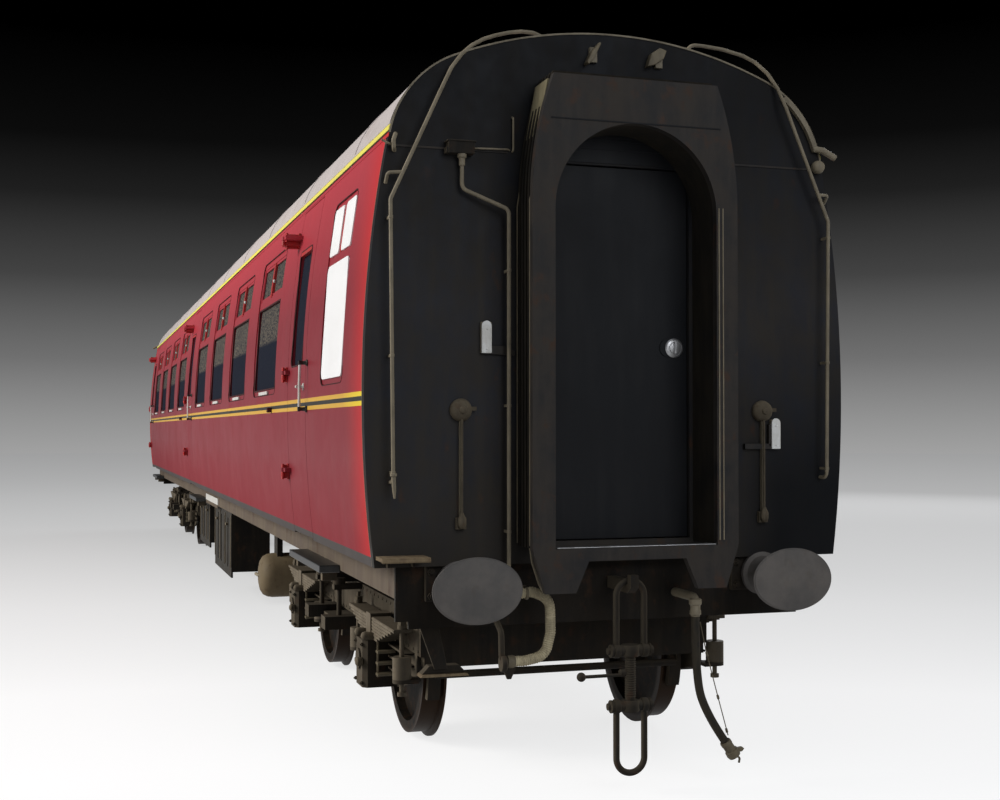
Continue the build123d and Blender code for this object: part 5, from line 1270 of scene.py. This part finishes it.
def make_end_pipes():
    """The bars over the roof's edge and down the corners, the alarm pipe and the hose stubs, as runs."""
    bars = []
    for s, humped in ((-1, LEFT_BAR), (1, RIGHT_BAR)):
        foot = (humped[0][0], humped[0][1], crown_height(humped[0][1]) - 0.004)
        down = [(PIPE_X, s * 1.252, RAIL + 3.010), (PIPE_X, s * 1.235, RAIL + 1.580),
                (END_X - 0.004, s * 1.235, RAIL + 1.580)]
        bars.append(pipe([foot, *humped[1:], *down], 0.010, 0.050, 14))
        bars.append(lathe(((0.022, -0.006), (0.022, 0.004), (0.013, 0.008), (0.011, 0.014)), [foot],
                          (0, 0, 1), 18))
    bars.append(pipe([(END_X + 0.035, -0.868, 3.300), (END_X + 0.035, -0.868, 3.118), (PIPE_X, -0.625, 3.016),
                      (PIPE_X, -0.625, RAIL + 1.120)], 0.0105, 0.040, 14))
    bars.append(pipe([(STUB_X, -0.660, HEAT_HIGH), (HEAT_X, -0.660, HEAT_HIGH),
                      (HEAT_X, -0.598, HEAT_HIGH)], 0.024, 0.034, 16))
    bars.append(pipe([(STUB_X, HOSE_Y, RAIL + 0.960), (HOSE_X, HOSE_Y, RAIL + 0.960),
                      (HOSE_X, HOSE_Y, RAIL + 0.860)], 0.024, 0.034, 16))
    made = end_piece("end_bars_and_pipes", bars, PIPE_PAINT, smooth=50)
    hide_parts("end_pipes")


def make_steps():
    """Step boards under the doors, and at one corner of each end a foot plate and a hung step."""
    places = [(x, s * 1.255, RAIL + 0.9875) for x, _ in STEP_BOARDS for s in SIDES]
    sizes = [(length, 0.130, 0.045) for _, length in STEP_BOARDS for _ in SIDES]
    boards = add_piece("step_boards", [blocks(places, sizes)], STEP_WOOD, slot="step_wood", bevel=0.005)
    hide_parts("steps")
    plate = blocks([(9.875, -1.185, 1.228)], [(0.150, 0.250, 0.020)])
    lip = pipe([(9.948, -1.310, 1.222), (9.948, -1.060, 1.222)], 0.010, 0.01)
    made = end_piece("corner_steps", [plate, lip], CORNER_PLATE, slot="step_wood", bevel=0.003)
    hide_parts("steps")
    tread = slab([(-1.052, 0.594), (-0.788, 0.594), (-0.800, 0.608), (-1.040, 0.608)], 0, 9.610, 9.706)
    hung = end_piece("hung_step_plates", [tread], CORNER_PLATE, slot="step_wood", bevel=0.002)
    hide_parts("steps")
    block = slab([(-1.040, 0.608), (-0.800, 0.608), (-0.840, 0.650), (-1.000, 0.650)], 0, 9.620, 9.686)
    iron = slab([(-1.110, 1.008), (-0.985, 1.008), (-0.905, 0.632), (-0.975, 0.632)], 0, 9.686, 9.700)
    ledge = blocks([(9.790, -1.120, 1.200), (9.790, -1.250, 1.200)], (0.100, 0.016, 0.040))
    end_piece("step_brackets", [block, iron, ledge], BOGIE_PAINT, slot="underframe", bevel=0.003)
    # Painted shade: a dark plate under each headstock that closes the gap down to the bogie, where only shade
    # shows
    skirt = blocks([(9.713, 0.0, 0.872)], [(0.024, 2.240, 0.042)])
    end_piece("headstock_shade_plates", [skirt], UNDER_PAINT, slot="underframe")


make_end_pipes()
make_steps()


# Gangways
BELLOWS_HALF = 0.560
DRAWN_IN = 0.115
SHOULDER = 3.040
HEAD = 3.688
PLATE_X = 10.095


def bellows_half(z):
    """Half width of the bellows at height z: upright to the shoulder, then drawn in along a straight line."""
    return BELLOWS_HALF - DRAWN_IN * np.clip((np.asarray(z) - SHOULDER) / (HEAD - SHOULDER), 0, 1)


def make_gangway_ribs():
    """Thin tan binding ribs up both edges of the bellows' sides, following their drawn-in head."""
    z = np.concatenate([np.linspace(1.290, SHOULDER, 6), np.linspace(SHOULDER, 3.640, 6)[1:]])
    parts = []
    for x, thick in ((10.047, 0.007), (9.835, 0.004)):
        path = np.column_stack([np.full(len(z), x), -(bellows_half(z) + 0.008), z])
        parts.append(carry(path, (1, 0, 0), circle(thick, 8)))
    jamb = [pipe([(PLATE_X + 0.002, y, 1.300), (PLATE_X + 0.002, y, 3.040)], 0.0035, 0.01, 6)
            for y in (0.463, 0.486)]
    end_piece("gangway_ribs", [both_sides(*merge(parts))], TAN_STEEL, smooth=60)
    end_piece("gangway_jamb_ribs", jamb, PIPE_PAINT, smooth=60)


def make_shoulder_plates():
    """Stiff canvas plates on the sides of the bellows' head, laid on the drawn-in line."""
    z = np.linspace(3.385, 3.668, 4)
    y = bellows_half(z) + 0.018
    loop = np.vstack([np.stack([-y - 0.008, z], 1), np.stack([-y + 0.030, z], 1)[::-1]])
    plate = slab(loop, 0, 9.850, 10.044)
    end_piece("bellows_shoulder_plates", [both_sides(*plate)], KHAKI)


def make_faceplate_dressing():
    """The joint line across the faceplate and its worn tread edge."""
    x = PLATE_X + 0.001
    end_piece("faceplate_joints", [blocks([(x, 0.000, 3.458)], (0.006, 0.945, 0.006))], DOOR_PAINT_AND_SHADE, slot=None)
    tread = blocks([(10.070, 0.0, 1.279)], [(0.050, 0.885, 0.004)])
    end_piece("gangway_tread_edges", [tread], BRIGHT_STEEL, bevel=0.002)


DOOR_X = 9.780
LOCK_AT = (0.346, 2.320)
LOCK = ((0.048, -0.001), (0.052, 0.002), (0.052, 0.008), (0.045, 0.012), (0.043, 0.008), (0.030, 0.010),
        (0.028, 0.016), (0.010, 0.018))


def make_gangway_doors():
    """On each end door a round bright lock with its turned rim and a grip across it."""
    for place, end in ENDS:
        name = "gangway_door_" + place
        lock = lathe(LOCK, [(DOOR_X, *LOCK_AT)], (1, 0, 0), 36)
        bar = blocks([(DOOR_X + 0.020, *LOCK_AT)], [(0.014, 0.012, 0.062)])
        add_piece(name + "_lock", [turned([lock, bar], end)], BRIGHT_STEEL, name, "steel_grey", smooth=40)


def make_head_boards():
    """Over each end door a board with three raised bands."""
    board = blocks([(END_X + 0.001, 0.0, 3.400)], (0.006, 0.900, 0.196))
    bands = blocks([(END_X + 0.004, 0.0, z) for z in (3.442, 3.424, 3.378)], (0.008, 0.880, 0.009))
    # The boards take the doors' dark paint with its painted shade
    end_piece("end_door_head_boards", [board, bands], DOOR_PAINT_AND_SHADE, slot="end_black")


for make in (make_gangway_ribs, make_shoulder_plates, make_faceplate_dressing, make_gangway_doors,
             make_head_boards):
    make()


# Buffers and couplings
BUFFER_CROWN = 0.014
BUFFER_Y = 0.870
BUFFER_Z = RAIL + 1.054
BUFFER_FACE = 10.150
HEAD_WIDE = 0.456
HEAD_HIGH = 0.322
RIM_STEPS = 64
HOOK_X = 9.985
NUTS = (RAIL + 0.700, RAIL + 0.414)
THREAD_STEPS = 150
THREAD_RADIUS = 0.0275
THREAD_DEPTH = 0.0022
THREAD_PITCH = 0.012


def make_buffers():
    """The buffers: base, stepped barrel, rod and oval domed head, turned shapes stretched to the head's oval.

    Dome: distance = face - crown * share squared, with share the part of the half width and half height.
    """
    sides = [(0.0, s * BUFFER_Y, BUFFER_Z) for s in SIDES]
    share = np.linspace(0, 1, 9)
    front = np.stack([share, BUFFER_FACE - BUFFER_CROWN * share ** 2], 1)
    edge = BUFFER_FACE - BUFFER_CROWN
    profile = np.vstack([front[:-1], [(0.985, edge + 0.001), (1.0, edge - 0.004), (1.0, edge - 0.018),
                                      (0.985, edge - 0.022)]])
    head, quads = lathe(profile, [(0, 0, 0)], (1, 0, 0), RIM_STEPS)
    heads = repeat(head * (1, HEAD_WIDE / 2, HEAD_HIGH / 2), quads, sides)
    barrel = ((0.118, 9.776), (0.118, 9.800), (0.098, 9.812), (0.085, 9.850), (0.085, 9.925), (0.108, 9.930),
              (0.108, 9.970), (0.100, 9.974), (0.066, 9.976), (0.066, 9.990), (0.055, 9.992), (0.055, 10.090),
              (0.080, edge - 0.021))
    bodies = lathe(barrel, sides, (1, 0, 0), 40)
    base = blocks([(9.743, s * BUFFER_Y, BUFFER_Z) for s in SIDES], (0.036, 0.340, 0.184))
    turn = np.linspace(0, 2 * np.pi, RIM_STEPS, endpoint=False)
    rims, bolts = [], []
    for _, y, _ in sides:
        path = np.stack([np.full(RIM_STEPS, edge - 0.006), y + HEAD_WIDE / 2 * np.cos(turn),
                         BUFFER_Z + HEAD_HIGH / 2 * np.sin(turn)], 1)
        rims.append(carry(path, (1, 0, 0), circle(0.005, 8), closed=True))
        bolts += [(9.761, y + dy, BUFFER_Z + dz) for dy in (-0.140, 0.140) for dz in (-0.062, 0.062)]
    heads_made = end_piece("buffer_heads_and_barrels", [heads, bodies], BUFFER_STEEL, smooth=35)
    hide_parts("buffers")
    bases = end_piece("buffer_bases", [base], BOGIE_PAINT, bevel=0.006)
    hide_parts("buffers")
    end_piece("buffer_head_rims", rims, BUFFER_STEEL, smooth=60)
    nuts = lathe(((0.020, 0.0), (0.020, 0.013), (0.011, 0.014), (0.011, 0.024)), bolts, (1, 0, 0), 6)
    end_piece("buffer_base_bolts", [nuts], BOGIE_PAINT)


def make_coupling_dressing():
    """The coupling screw's thread, radius = mean + depth * cos of the height, with nuts and eyes."""
    z = np.linspace(RAIL + 0.462, RAIL + 0.676, THREAD_STEPS)
    path = np.stack([np.full(THREAD_STEPS, HOOK_X), np.zeros(THREAD_STEPS), z], 1)
    radius = THREAD_RADIUS + THREAD_DEPTH * np.cos(2 * np.pi * z / THREAD_PITCH)
    thread = carry(path, (1, 0, 0), radius[:, None, None] * circle(1.0, 16)[None])
    end_piece("screw_threads", [thread], BOGIE_PAINT, smooth=70)
    nut = ((0.044, -0.030), (0.048, -0.024), (0.048, 0.024), (0.044, 0.030))
    middle = lathe(nut, [(HOOK_X, 0.0, z) for z in NUTS], (0, 0, 1), 24)
    cap = ((0.034, 0.0), (0.034, 0.008), (0.020, 0.012), (0.018, 0.024), (0.006, 0.027))
    caps = [lathe(cap, [(HOOK_X, s * 0.104, z) for z in NUTS], (0, s, 0), 20) for s in SIDES]
    eyes = lathe(((0.034, -0.016), (0.037, -0.012), (0.037, 0.012), (0.034, 0.016)),
                 [(HOOK_X, s * 0.078, z) for s in SIDES for z in NUTS], (0, 1, 0), 22)
    collar = lathe(((0.016, 0.0), (0.018, 0.004), (0.018, 0.030), (0.012, 0.036)),
                   [(HOOK_X, -0.026, RAIL + 0.588)], (0, -1, 0), 16)
    end_piece("coupling_nuts", [middle, collar] + caps, BOGIE_PAINT, smooth=40)
    end_piece("coupling_eyes", [eyes], BOGIE_PAINT, smooth=40)


def make_end_runs():
    """The thin pipe from the gangway foot to the heating hose, and the tie wire beside the brake hose."""
    thin = pipe([(9.960, -0.540, 1.275), (9.960, -0.530, 1.200), (9.955, -0.490, 1.085),
                 (9.940, -0.440, 1.000)], 0.0065, 0.08, 8)
    wire = pipe([(9.985, 0.400, 0.860), (9.985, 0.431, 0.719), (9.985, 0.500, 0.470),
                 (9.985, 0.562, 0.252)], 0.0028, 0.3, 6)
    ferrules = lathe(((0.004, 0.0), (0.007, 0.003), (0.007, 0.022), (0.004, 0.025)),
                     [(9.985, 0.436, 0.700), (9.985, 0.500, 0.470), (9.985, 0.550, 0.290)],
                     (0, 0.27, -0.96), 10)
    valve = lathe(((0.026, 0.0), (0.034, 0.006), (0.034, 0.030), (0.027, 0.038), (0.027, 0.060),
                   (0.031, 0.066), (0.031, 0.084), (0.025, 0.088)), [(HOSE_X, HOSE_Y, 0.985)], (0, 0, -1),
                  20)
    end_piece("end_thin_pipes", [thin], PIPE_PAINT, smooth=60)
    end_piece("hose_tie_wires", [wire, ferrules], TAN_STEEL, smooth=60)
    end_piece("hose_valves", [valve], PIPE_PAINT, smooth=40)


make_buffers()
make_coupling_dressing()
make_end_runs()


# Bogies
BOX_OUT = 1.100
BOX_Z = RAIL + 0.4385
PLATE_Y = 0.890
RIVETS = 34
RIVET_REACH = 1.930


def make_axlebox_dressing():
    """On each axlebox: oiler cap, cover bolts and top lugs, with guide strips and ribs beside it."""
    for body, middle in BOGIES:
        axles = (middle - AXLE_HALF, middle + AXLE_HALF)
        knobs, bolts, strips, ribs = [], [], [], []
        for s in SIDES:
            knobs.append(lathe(((0.024, 0.0), (0.027, 0.006), (0.027, 0.030), (0.018, 0.040), (0.008, 0.043)),
                               [(x + 0.084, s * BOX_OUT, AXLE_Z - 0.006) for x in axles], (0, s, 0), 18))
            knobs.append(lathe(((0.024, -0.03), (0.027, 0.006), (0.027, 0.040), (0.020, 0.054),
                                (0.008, 0.060)),
                               [(x + dx, s * 1.050, RAIL + 0.600) for x in axles for dx in (-0.095, 0.095)],
                               (0, s, 0.15), 18))
            bolts.append(lathe(((0.012, 0.0), (0.012, 0.009), (0.006, 0.010), (0.006, 0.016)),
                               [(x + dx, s * BOX_OUT, BOX_Z + dz) for x in axles for dx in (-0.090, 0.090)
                                for dz in (-0.115, 0.115)], (0, s, 0), 6))
            strips += [(x + dx, s * 1.018, RAIL + 0.500) for x in axles for dx in (-0.150, 0.150)]
            ribs += [(x + dx, s * 0.975, z) for x in axles for dx in (-0.170, 0.170)
                     for z in (0.414, 0.480, 0.548)]
        add_piece(body + "_axlebox_knobs", knobs, TAN_DUST_AND_LIGHT, body, "steel_grey", smooth=40)
        add_piece(body + "_axlebox_bolts", bolts, BOGIE_PAINT, body, "steel_grey")
        add_piece(body + "_horn_strips", [blocks(strips, (0.012, 0.012, 0.270))], TAN_STEEL, body,
                  "underframe", bevel=0.002)
        add_piece(body + "_horn_ribs", [blocks(ribs, (0.060, 0.110, 0.016))], TAN_STEEL, body, "underframe",
                  bevel=0.003)


LEAVES = 7
LEAF = 0.019
LEAF_FOOT = RAIL + 0.581
LEAF_LONG = 0.640
LEAF_SHORT = 0.220


def make_spring_dressing():
    """Edges of the spring leaves as thin ridges stepped in length, in a pale tan that is painted highlight,
    and nuts on the hanger rods.
    """
    for body, middle in BOGIES:
        ridges, sizes, nuts = [], [], []
        for x in (middle - AXLE_HALF, middle + AXLE_HALF):
            for s in SIDES:
                for leaf in range(LEAVES):
                    for y in (1.036, 0.924):
                        half = LEAF_SHORT + (LEAF_LONG - LEAF_SHORT) * leaf / (LEAVES - 1)
                        ridges.append((x, s * y, LEAF_FOOT + LEAF * (leaf + 0.5)))
                        sizes.append((2 * half - 0.012, 0.004, LEAF * 0.55))
                nuts += [(x + dx, s * 0.980, RAIL + 0.735) for dx in (-0.610, 0.610)]
        # The leaf ridges carry the painted highlight
        add_piece(body + "_leaf_edge_highlights", [blocks(ridges, sizes)], LEAF_EDGE_HIGHLIGHT, body, "steel_grey")
        hexes = lathe(((0.026, 0.0), (0.026, 0.022), (0.014, 0.024), (0.014, 0.050), (0.010, 0.054)), nuts,
                      (0, 0, 1), 6)
        add_piece(body + "_hanger_nuts", [hexes], TAN_DUST_AND_LIGHT, body, "steel_grey")


def make_frame_rivets():
    """Two rows of rivets along each bogie side plate."""
    for body, middle in BOGIES:
        x = middle + np.linspace(-RIVET_REACH, RIVET_REACH, RIVETS)
        rows = [np.stack([x, np.full(RIVETS, s * PLATE_Y), np.full(RIVETS, z)], 1)
                for s in SIDES for z in (RAIL + 0.585, RAIL + 0.775)]
        parts = [lathe(dome(0.010, 0.006, 4), row, (0, np.sign(row[0, 1]), 0), 8) for row in rows]
        add_piece(body + "_frame_rivets", parts, BOGIE_PAINT, body, "underframe", smooth=60)


make_axlebox_dressing()
make_spring_dressing()
make_frame_rivets()


# Underframe boxes: middle, half length, front's distance out, side and height of the ribs
BOXES = ((1.045, 0.850, 1.130, -1, 0.560), (-1.500, 0.650, 1.090, -1, 0.440),
         (-1.045, 0.850, 1.130, 1, 0.560))
RIVET_STEP = 0.620
TANK_X = 3.900
TANK_Z = RAIL + 0.500


def make_solebar_rivets():
    """A row of rivets along the head of each solebar, but for the middle of the right one."""
    x = np.arange(-9.4, 9.5, RIVET_STEP)
    bolts = [lathe(dome(0.011, 0.007, 4),
                   [(v, s * SOLEBAR_Y, SILL - 0.045) for v in x if abs(v - 0.24) > 0.72 or s < 0],
                   (0, s, 0), 8) for s in SIDES]
    add_piece("solebar_rivets", bolts, SOLEBAR_PAINT, slot="underframe", smooth=60)


def make_step_board_brackets():
    """Two brackets under each step board, at four tenths of its length from its middle."""
    places = [(door_x + dx, s * 1.238, RAIL + 0.935) for door_x, length in STEP_BOARDS for s in SIDES
              for dx in (-0.40 * length, 0.40 * length)]
    add_piece("step_board_brackets", [blocks(places, (0.060, 0.094, 0.060))], TAN_DUST_AND_LIGHT, slot="underframe",
              bevel=0.004)


def make_box_ribs():
    """On the doors of each underframe box, four upright ribs and two handles."""
    ribs, rib_sizes = [], []
    for box_x, half, front, side, high in BOXES:
        y = side * (front + 0.020)
        for share in (-0.96, -0.32, 0.32, 0.96):
            ribs.append((box_x + share * half, y, RAIL + 0.650))
            rib_sizes.append((0.028, 0.012, high))
        for share in (-0.60, 0.60):
            ribs.append((box_x + share * half, y + side * 0.012, RAIL + 0.820))
            rib_sizes.append((0.100, 0.030, 0.026))
    add_piece("box_door_ribs", [blocks(ribs, rib_sizes)], TAN_DUST_AND_LIGHT, slot="underframe", bevel=0.003)


def make_tank_shell():
    """The air tank over its solid: a straight barrel with a rounded end, turned across the coach."""
    shell = lathe(((0.090, 0.118), (0.140, 0.106), (0.176, 0.082), (0.196, 0.044), (0.203, 0.0),
                   (0.203, -0.60)), [(TANK_X, -1.000, TANK_Z)], (0, -1, 0), 48)
    add_piece("tank_shell", [shell], TANK_PAINT, slot="underframe", smooth=50)


def make_blank_plates():
    """A blank white plate on each solebar."""
    plate = blocks([(0.260, s * (SOLEBAR_Y + 0.0045), 1.058) for s in SIDES], (1.380, 0.011, 0.072))
    add_piece("blank_solebar_plates", [plate], WHITE_PAINT, slot="white_paint")


def make_tank_fittings():
    """A plug and a bent pipe at the tank's outer end."""
    bend = pipe([(TANK_X, -1.075, TANK_Z), (TANK_X, -1.120, TANK_Z), (3.740, -1.125, TANK_Z)], 0.016, 0.03)
    plug = lathe(((0.040, 0.0), (0.040, 0.020), (0.020, 0.026)), [(TANK_X, -1.066, TANK_Z)], (0, -1, 0), 18)
    add_piece("tank_fittings", [bend, plug], PIPE_PAINT, slot="underframe", smooth=40)


def make_underfloor_pipes():
    """The three pipes and pull rods along the underframe."""
    runs = [
        pipe([(-9.60, -0.42, RAIL + 0.930), (9.60, -0.42, RAIL + 0.930)], 0.020, 0.1),
        pipe([(-9.60, 0.42, RAIL + 0.930), (9.60, 0.42, RAIL + 0.930)], 0.016, 0.1),
        pipe([(-4.40, -0.20, RAIL + 0.800), (4.40, -0.20, RAIL + 0.800)], 0.018, 0.1),
    ]
    add_piece("underfloor_pipes", runs, UNDER_PAINT, slot="underframe", smooth=60)


for make in (make_solebar_rivets, make_step_board_brackets, make_box_ribs, make_tank_shell, make_blank_plates,
             make_tank_fittings, make_underfloor_pipes):
    make()


# Seats: crowned padded pieces over the boxes of the frame's cushions and backs
ROUNDING = 0.36
PULL = 0.06


def islands(shown):
    """Boxes (low, high) of a node's separate solids, by spreading the least vertex number along edges."""
    mesh = shown.data
    points = np.empty(len(mesh.vertices) * 3)
    mesh.vertices.foreach_get("co", points)
    points = points.reshape(-1, 3)
    edges = np.empty(len(mesh.edges) * 2, int)
    mesh.edges.foreach_get("vertices", edges)
    edges = edges.reshape(-1, 2)
    _, same = np.unique(points.round(5), axis=0, return_inverse=True)
    mark = same.reshape(-1).copy()
    a, b = mark[edges[:, 0]], mark[edges[:, 1]]
    label = np.arange(mark.max() + 1)
    while True:
        least = np.minimum(label[a], label[b])
        spread = label.copy()
        np.minimum.at(spread, a, least)
        np.minimum.at(spread, b, least)
        if (spread == label).all():
            break
        label = spread
    owner = label[mark]
    return [(points[owner == i].min(0), points[owner == i].max(0)) for i in np.unique(owner)]


def pillow(low, high, crown, rows=14, columns=28):
    """A pad with rounded corners in a box, crowned on one face.

    With u from pole to pole and v round, point = middle + half * (signed power of the sphere's own
    coordinates), so that the sides pull in between the corners; crown swells the face along crown's axis
    by (1 - a squared)(1 - b squared) of the two other shares.
    """
    low, high = np.asarray(low, float), np.asarray(high, float)
    u = np.linspace(-np.pi / 2, np.pi / 2, rows)[:, None]
    v = np.linspace(0, 2 * np.pi, columns, endpoint=False)[None, :]
    sphere = np.stack(np.broadcast_arrays(np.cos(u) * np.cos(v), np.cos(u) * np.sin(v), np.sin(u)), -1)
    shares = np.sign(sphere) * np.abs(sphere) ** ROUNDING
    axis = int(np.argmax(np.abs(crown)))
    others = [i for i in range(3) if i != axis]
    swell = (1 - shares[..., others[0]] ** 2) * (1 - shares[..., others[1]] ** 2)
    shares = shares * (1 - PULL * (1 - np.abs(shares[..., ::-1]) ** 2) * 0.5)
    points = (low + high) / 2 + shares * (high - low) / 2
    points = points + swell[..., None] * np.asarray(crown) * (np.sign(shares[..., axis]) > 0)[..., None]
    return points.reshape(-1, 3), grid_quads(rows, columns, wrap_columns=True)


def make_seats():
    """Cushions and backs, each kind one padded piece, crowned upwards and pulled in along their sides."""
    for name, crown, gap in (("seat_cushions", (0, 0, 0.018), 0.002), ("seat_backs", (0, 0, 0.004), 0.002)):
        pads = [pillow(low + gap, high - gap, crown) for low, high in islands(cad[name])]
        pad = add_piece(name + "_padded", pads, FABRIC, slot="upholstery", smooth=80)
        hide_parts(name)


make_seats()


# Studio: floor, a far wall whose grey fades upwards, and soft lamps
WALL = 95.0
WALL_SIDES = 96
WALL_HEAD = 60.0
FLOOR_Z = -0.001
FLOOR_NEAR = 6.85
FLOOR_GLOW = 0.78
FLOOR_GREY = (0.42, 0.42, 0.42, 1)
SHADE_SHARE = 0.30
MIRRORED = 0.6
FLOOR_TONES = ((0.061, 0.400), (0.110, 0.450), (0.170, 0.510), (0.245, 0.555), (0.460, 0.785),
               (0.676, 0.960), (0.892, 1.000))
WALL_TONES = ((0.0, 0.356), (0.125, 0.160), (0.235, 0.055), (0.343, 0.0135), (0.420, 0.0035), (0.560, 0.0))


def graded(tree, factor, stops):
    """A grey that runs through the given (place, value) stops."""
    made = node(tree, "ShaderNodeValToRGB", Fac=factor)
    ends = made.color_ramp.elements
    while len(ends) < len(stops):
        ends.new(0.5)
    for spot, (place, value) in zip(ends, stops):
        spot.position = place
    for spot, (place, value) in zip(ends, stops):
        spot.color = (value, value, value, 1)
    return made.outputs["Color"]


def backdrop_material(name):
    """A material with no shader yet, and its object coordinates split."""
    material = bpy.data.materials.new(name)
    material.use_nodes = True
    tree = material.node_tree
    tree.nodes.clear()
    split = node(tree, "ShaderNodeSeparateXYZ", Vector=node(tree, "ShaderNodeTexCoord").outputs["Object"])
    return material, tree, split


def seen_or_not(tree, unseen, seen):
    """One shader for camera, mirror and glass rays and another for all the rest."""
    path = node(tree, "ShaderNodeLightPath")
    rays = sums(tree, "MAXIMUM", path.outputs["Is Camera Ray"], path.outputs["Is Transmission Ray"])
    rays = sums(tree, "MAXIMUM", rays, sums(tree, "MULTIPLY", path.outputs["Is Glossy Ray"], MIRRORED))
    mixed = node(tree, "ShaderNodeMixShader", i0=rays, i1=unseen.outputs[0], i2=seen.outputs[0])
    made = node(tree, "ShaderNodeOutputMaterial")
    tree.links.new(mixed.outputs[0], made.inputs["Surface"])


def make_floor():
    """A plane under the wheels; its tone follows near / distance from the camera, white to grey."""
    mesh = bpy.data.meshes.new("studio_floor")
    mesh.from_pydata([(-WALL, -WALL, FLOOR_Z), (WALL, -WALL, FLOOR_Z), (WALL, WALL, FLOOR_Z),
                      (-WALL, WALL, FLOOR_Z)], [], [(0, 1, 2, 3)])
    made = link("studio_floor", mesh)
    material, tree, split = backdrop_material("studio_floor")
    along = sums(tree, "POWER", sums(tree, "SUBTRACT", split.outputs["X"], CAMERA_AT[0]), 2.0)
    across = sums(tree, "POWER", sums(tree, "SUBTRACT", split.outputs["Y"], CAMERA_AT[1]), 2.0)
    near = sums(tree, "DIVIDE", FLOOR_NEAR, sums(tree, "SQRT", sums(tree, "ADD", along, across)), clamp=True)
    tone = graded(tree, near, FLOOR_TONES)
    glow = node(tree, "ShaderNodeEmission", Color=tone, Strength=FLOOR_GLOW)
    shaded = node(tree, "ShaderNodeBsdfDiffuse", Color=blend_colour(tree, SHADE_SHARE, (0, 0, 0), tone))
    both = node(tree, "ShaderNodeAddShader", i0=glow.outputs[0], i1=shaded.outputs[0])
    plain = node(tree, "ShaderNodeBsdfDiffuse", Color=FLOOR_GREY)
    seen_or_not(tree, plain, both)
    mesh.materials.append(material)


def make_wall():
    """A ring wall far off, grey at its foot and dark at its head; only the camera and mirrors see it."""
    angle = np.linspace(0, 2 * np.pi, WALL_SIDES, endpoint=False)
    ring = np.stack([WALL * np.cos(angle), WALL * np.sin(angle)], 1)
    points = np.vstack([np.column_stack([ring, np.full(WALL_SIDES, z)]) for z in (FLOOR_Z, WALL_HEAD)])
    mesh = bpy.data.meshes.new("studio_wall")
    mesh.from_pydata(points.tolist(), [], grid_quads(2, WALL_SIDES, wrap_columns=True).tolist())
    made = link("studio_wall", mesh)
    material, tree, split = backdrop_material("studio_wall")
    high = sums(tree, "DIVIDE", split.outputs["Z"], WALL_HEAD, clamp=True)
    glow = node(tree, "ShaderNodeEmission", Color=graded(tree, high, WALL_TONES), Strength=1.0)
    seen_or_not(tree, node(tree, "ShaderNodeBsdfTransparent"), glow)
    mesh.materials.append(material)


make_floor()
make_wall()

# Sky light and lamps
SKY = (0.86, 0.90, 0.96, 1)
SKY_STRENGTH = 0.34
world = bpy.data.worlds.new("studio")
bpy.context.scene.world = world
world.use_nodes = True
sky = world.node_tree.nodes["Background"]
sky.inputs["Color"].default_value = SKY
sky.inputs["Strength"].default_value = SKY_STRENGTH


def area_light(name, place, target, size, power, colour):
    """A soft square lamp that faces a target."""
    data = bpy.data.lights.new(name, "AREA")
    data.shape = "SQUARE"
    data.size = size
    data.energy = power
    data.color = colour
    lamp = link(name, data)
    lamp.location = place
    lamp.rotation_euler = (Vector(target) - Vector(place)).to_track_quat("-Z", "Y").to_euler()


area_light("key", (2, -22, 11), (0, 0, 2), 12, 5000, (1.0, 0.97, 0.93))
area_light("end_light", (24, 3, 8), (9, 0, 2), 9, 820, (0.93, 0.96, 1.0))
area_light("back_fill", (-14, 18, 12), (0, 0, 2), 14, 2400, (0.97, 0.98, 1.0))

bpy.context.scene.view_settings.view_transform = "Standard"
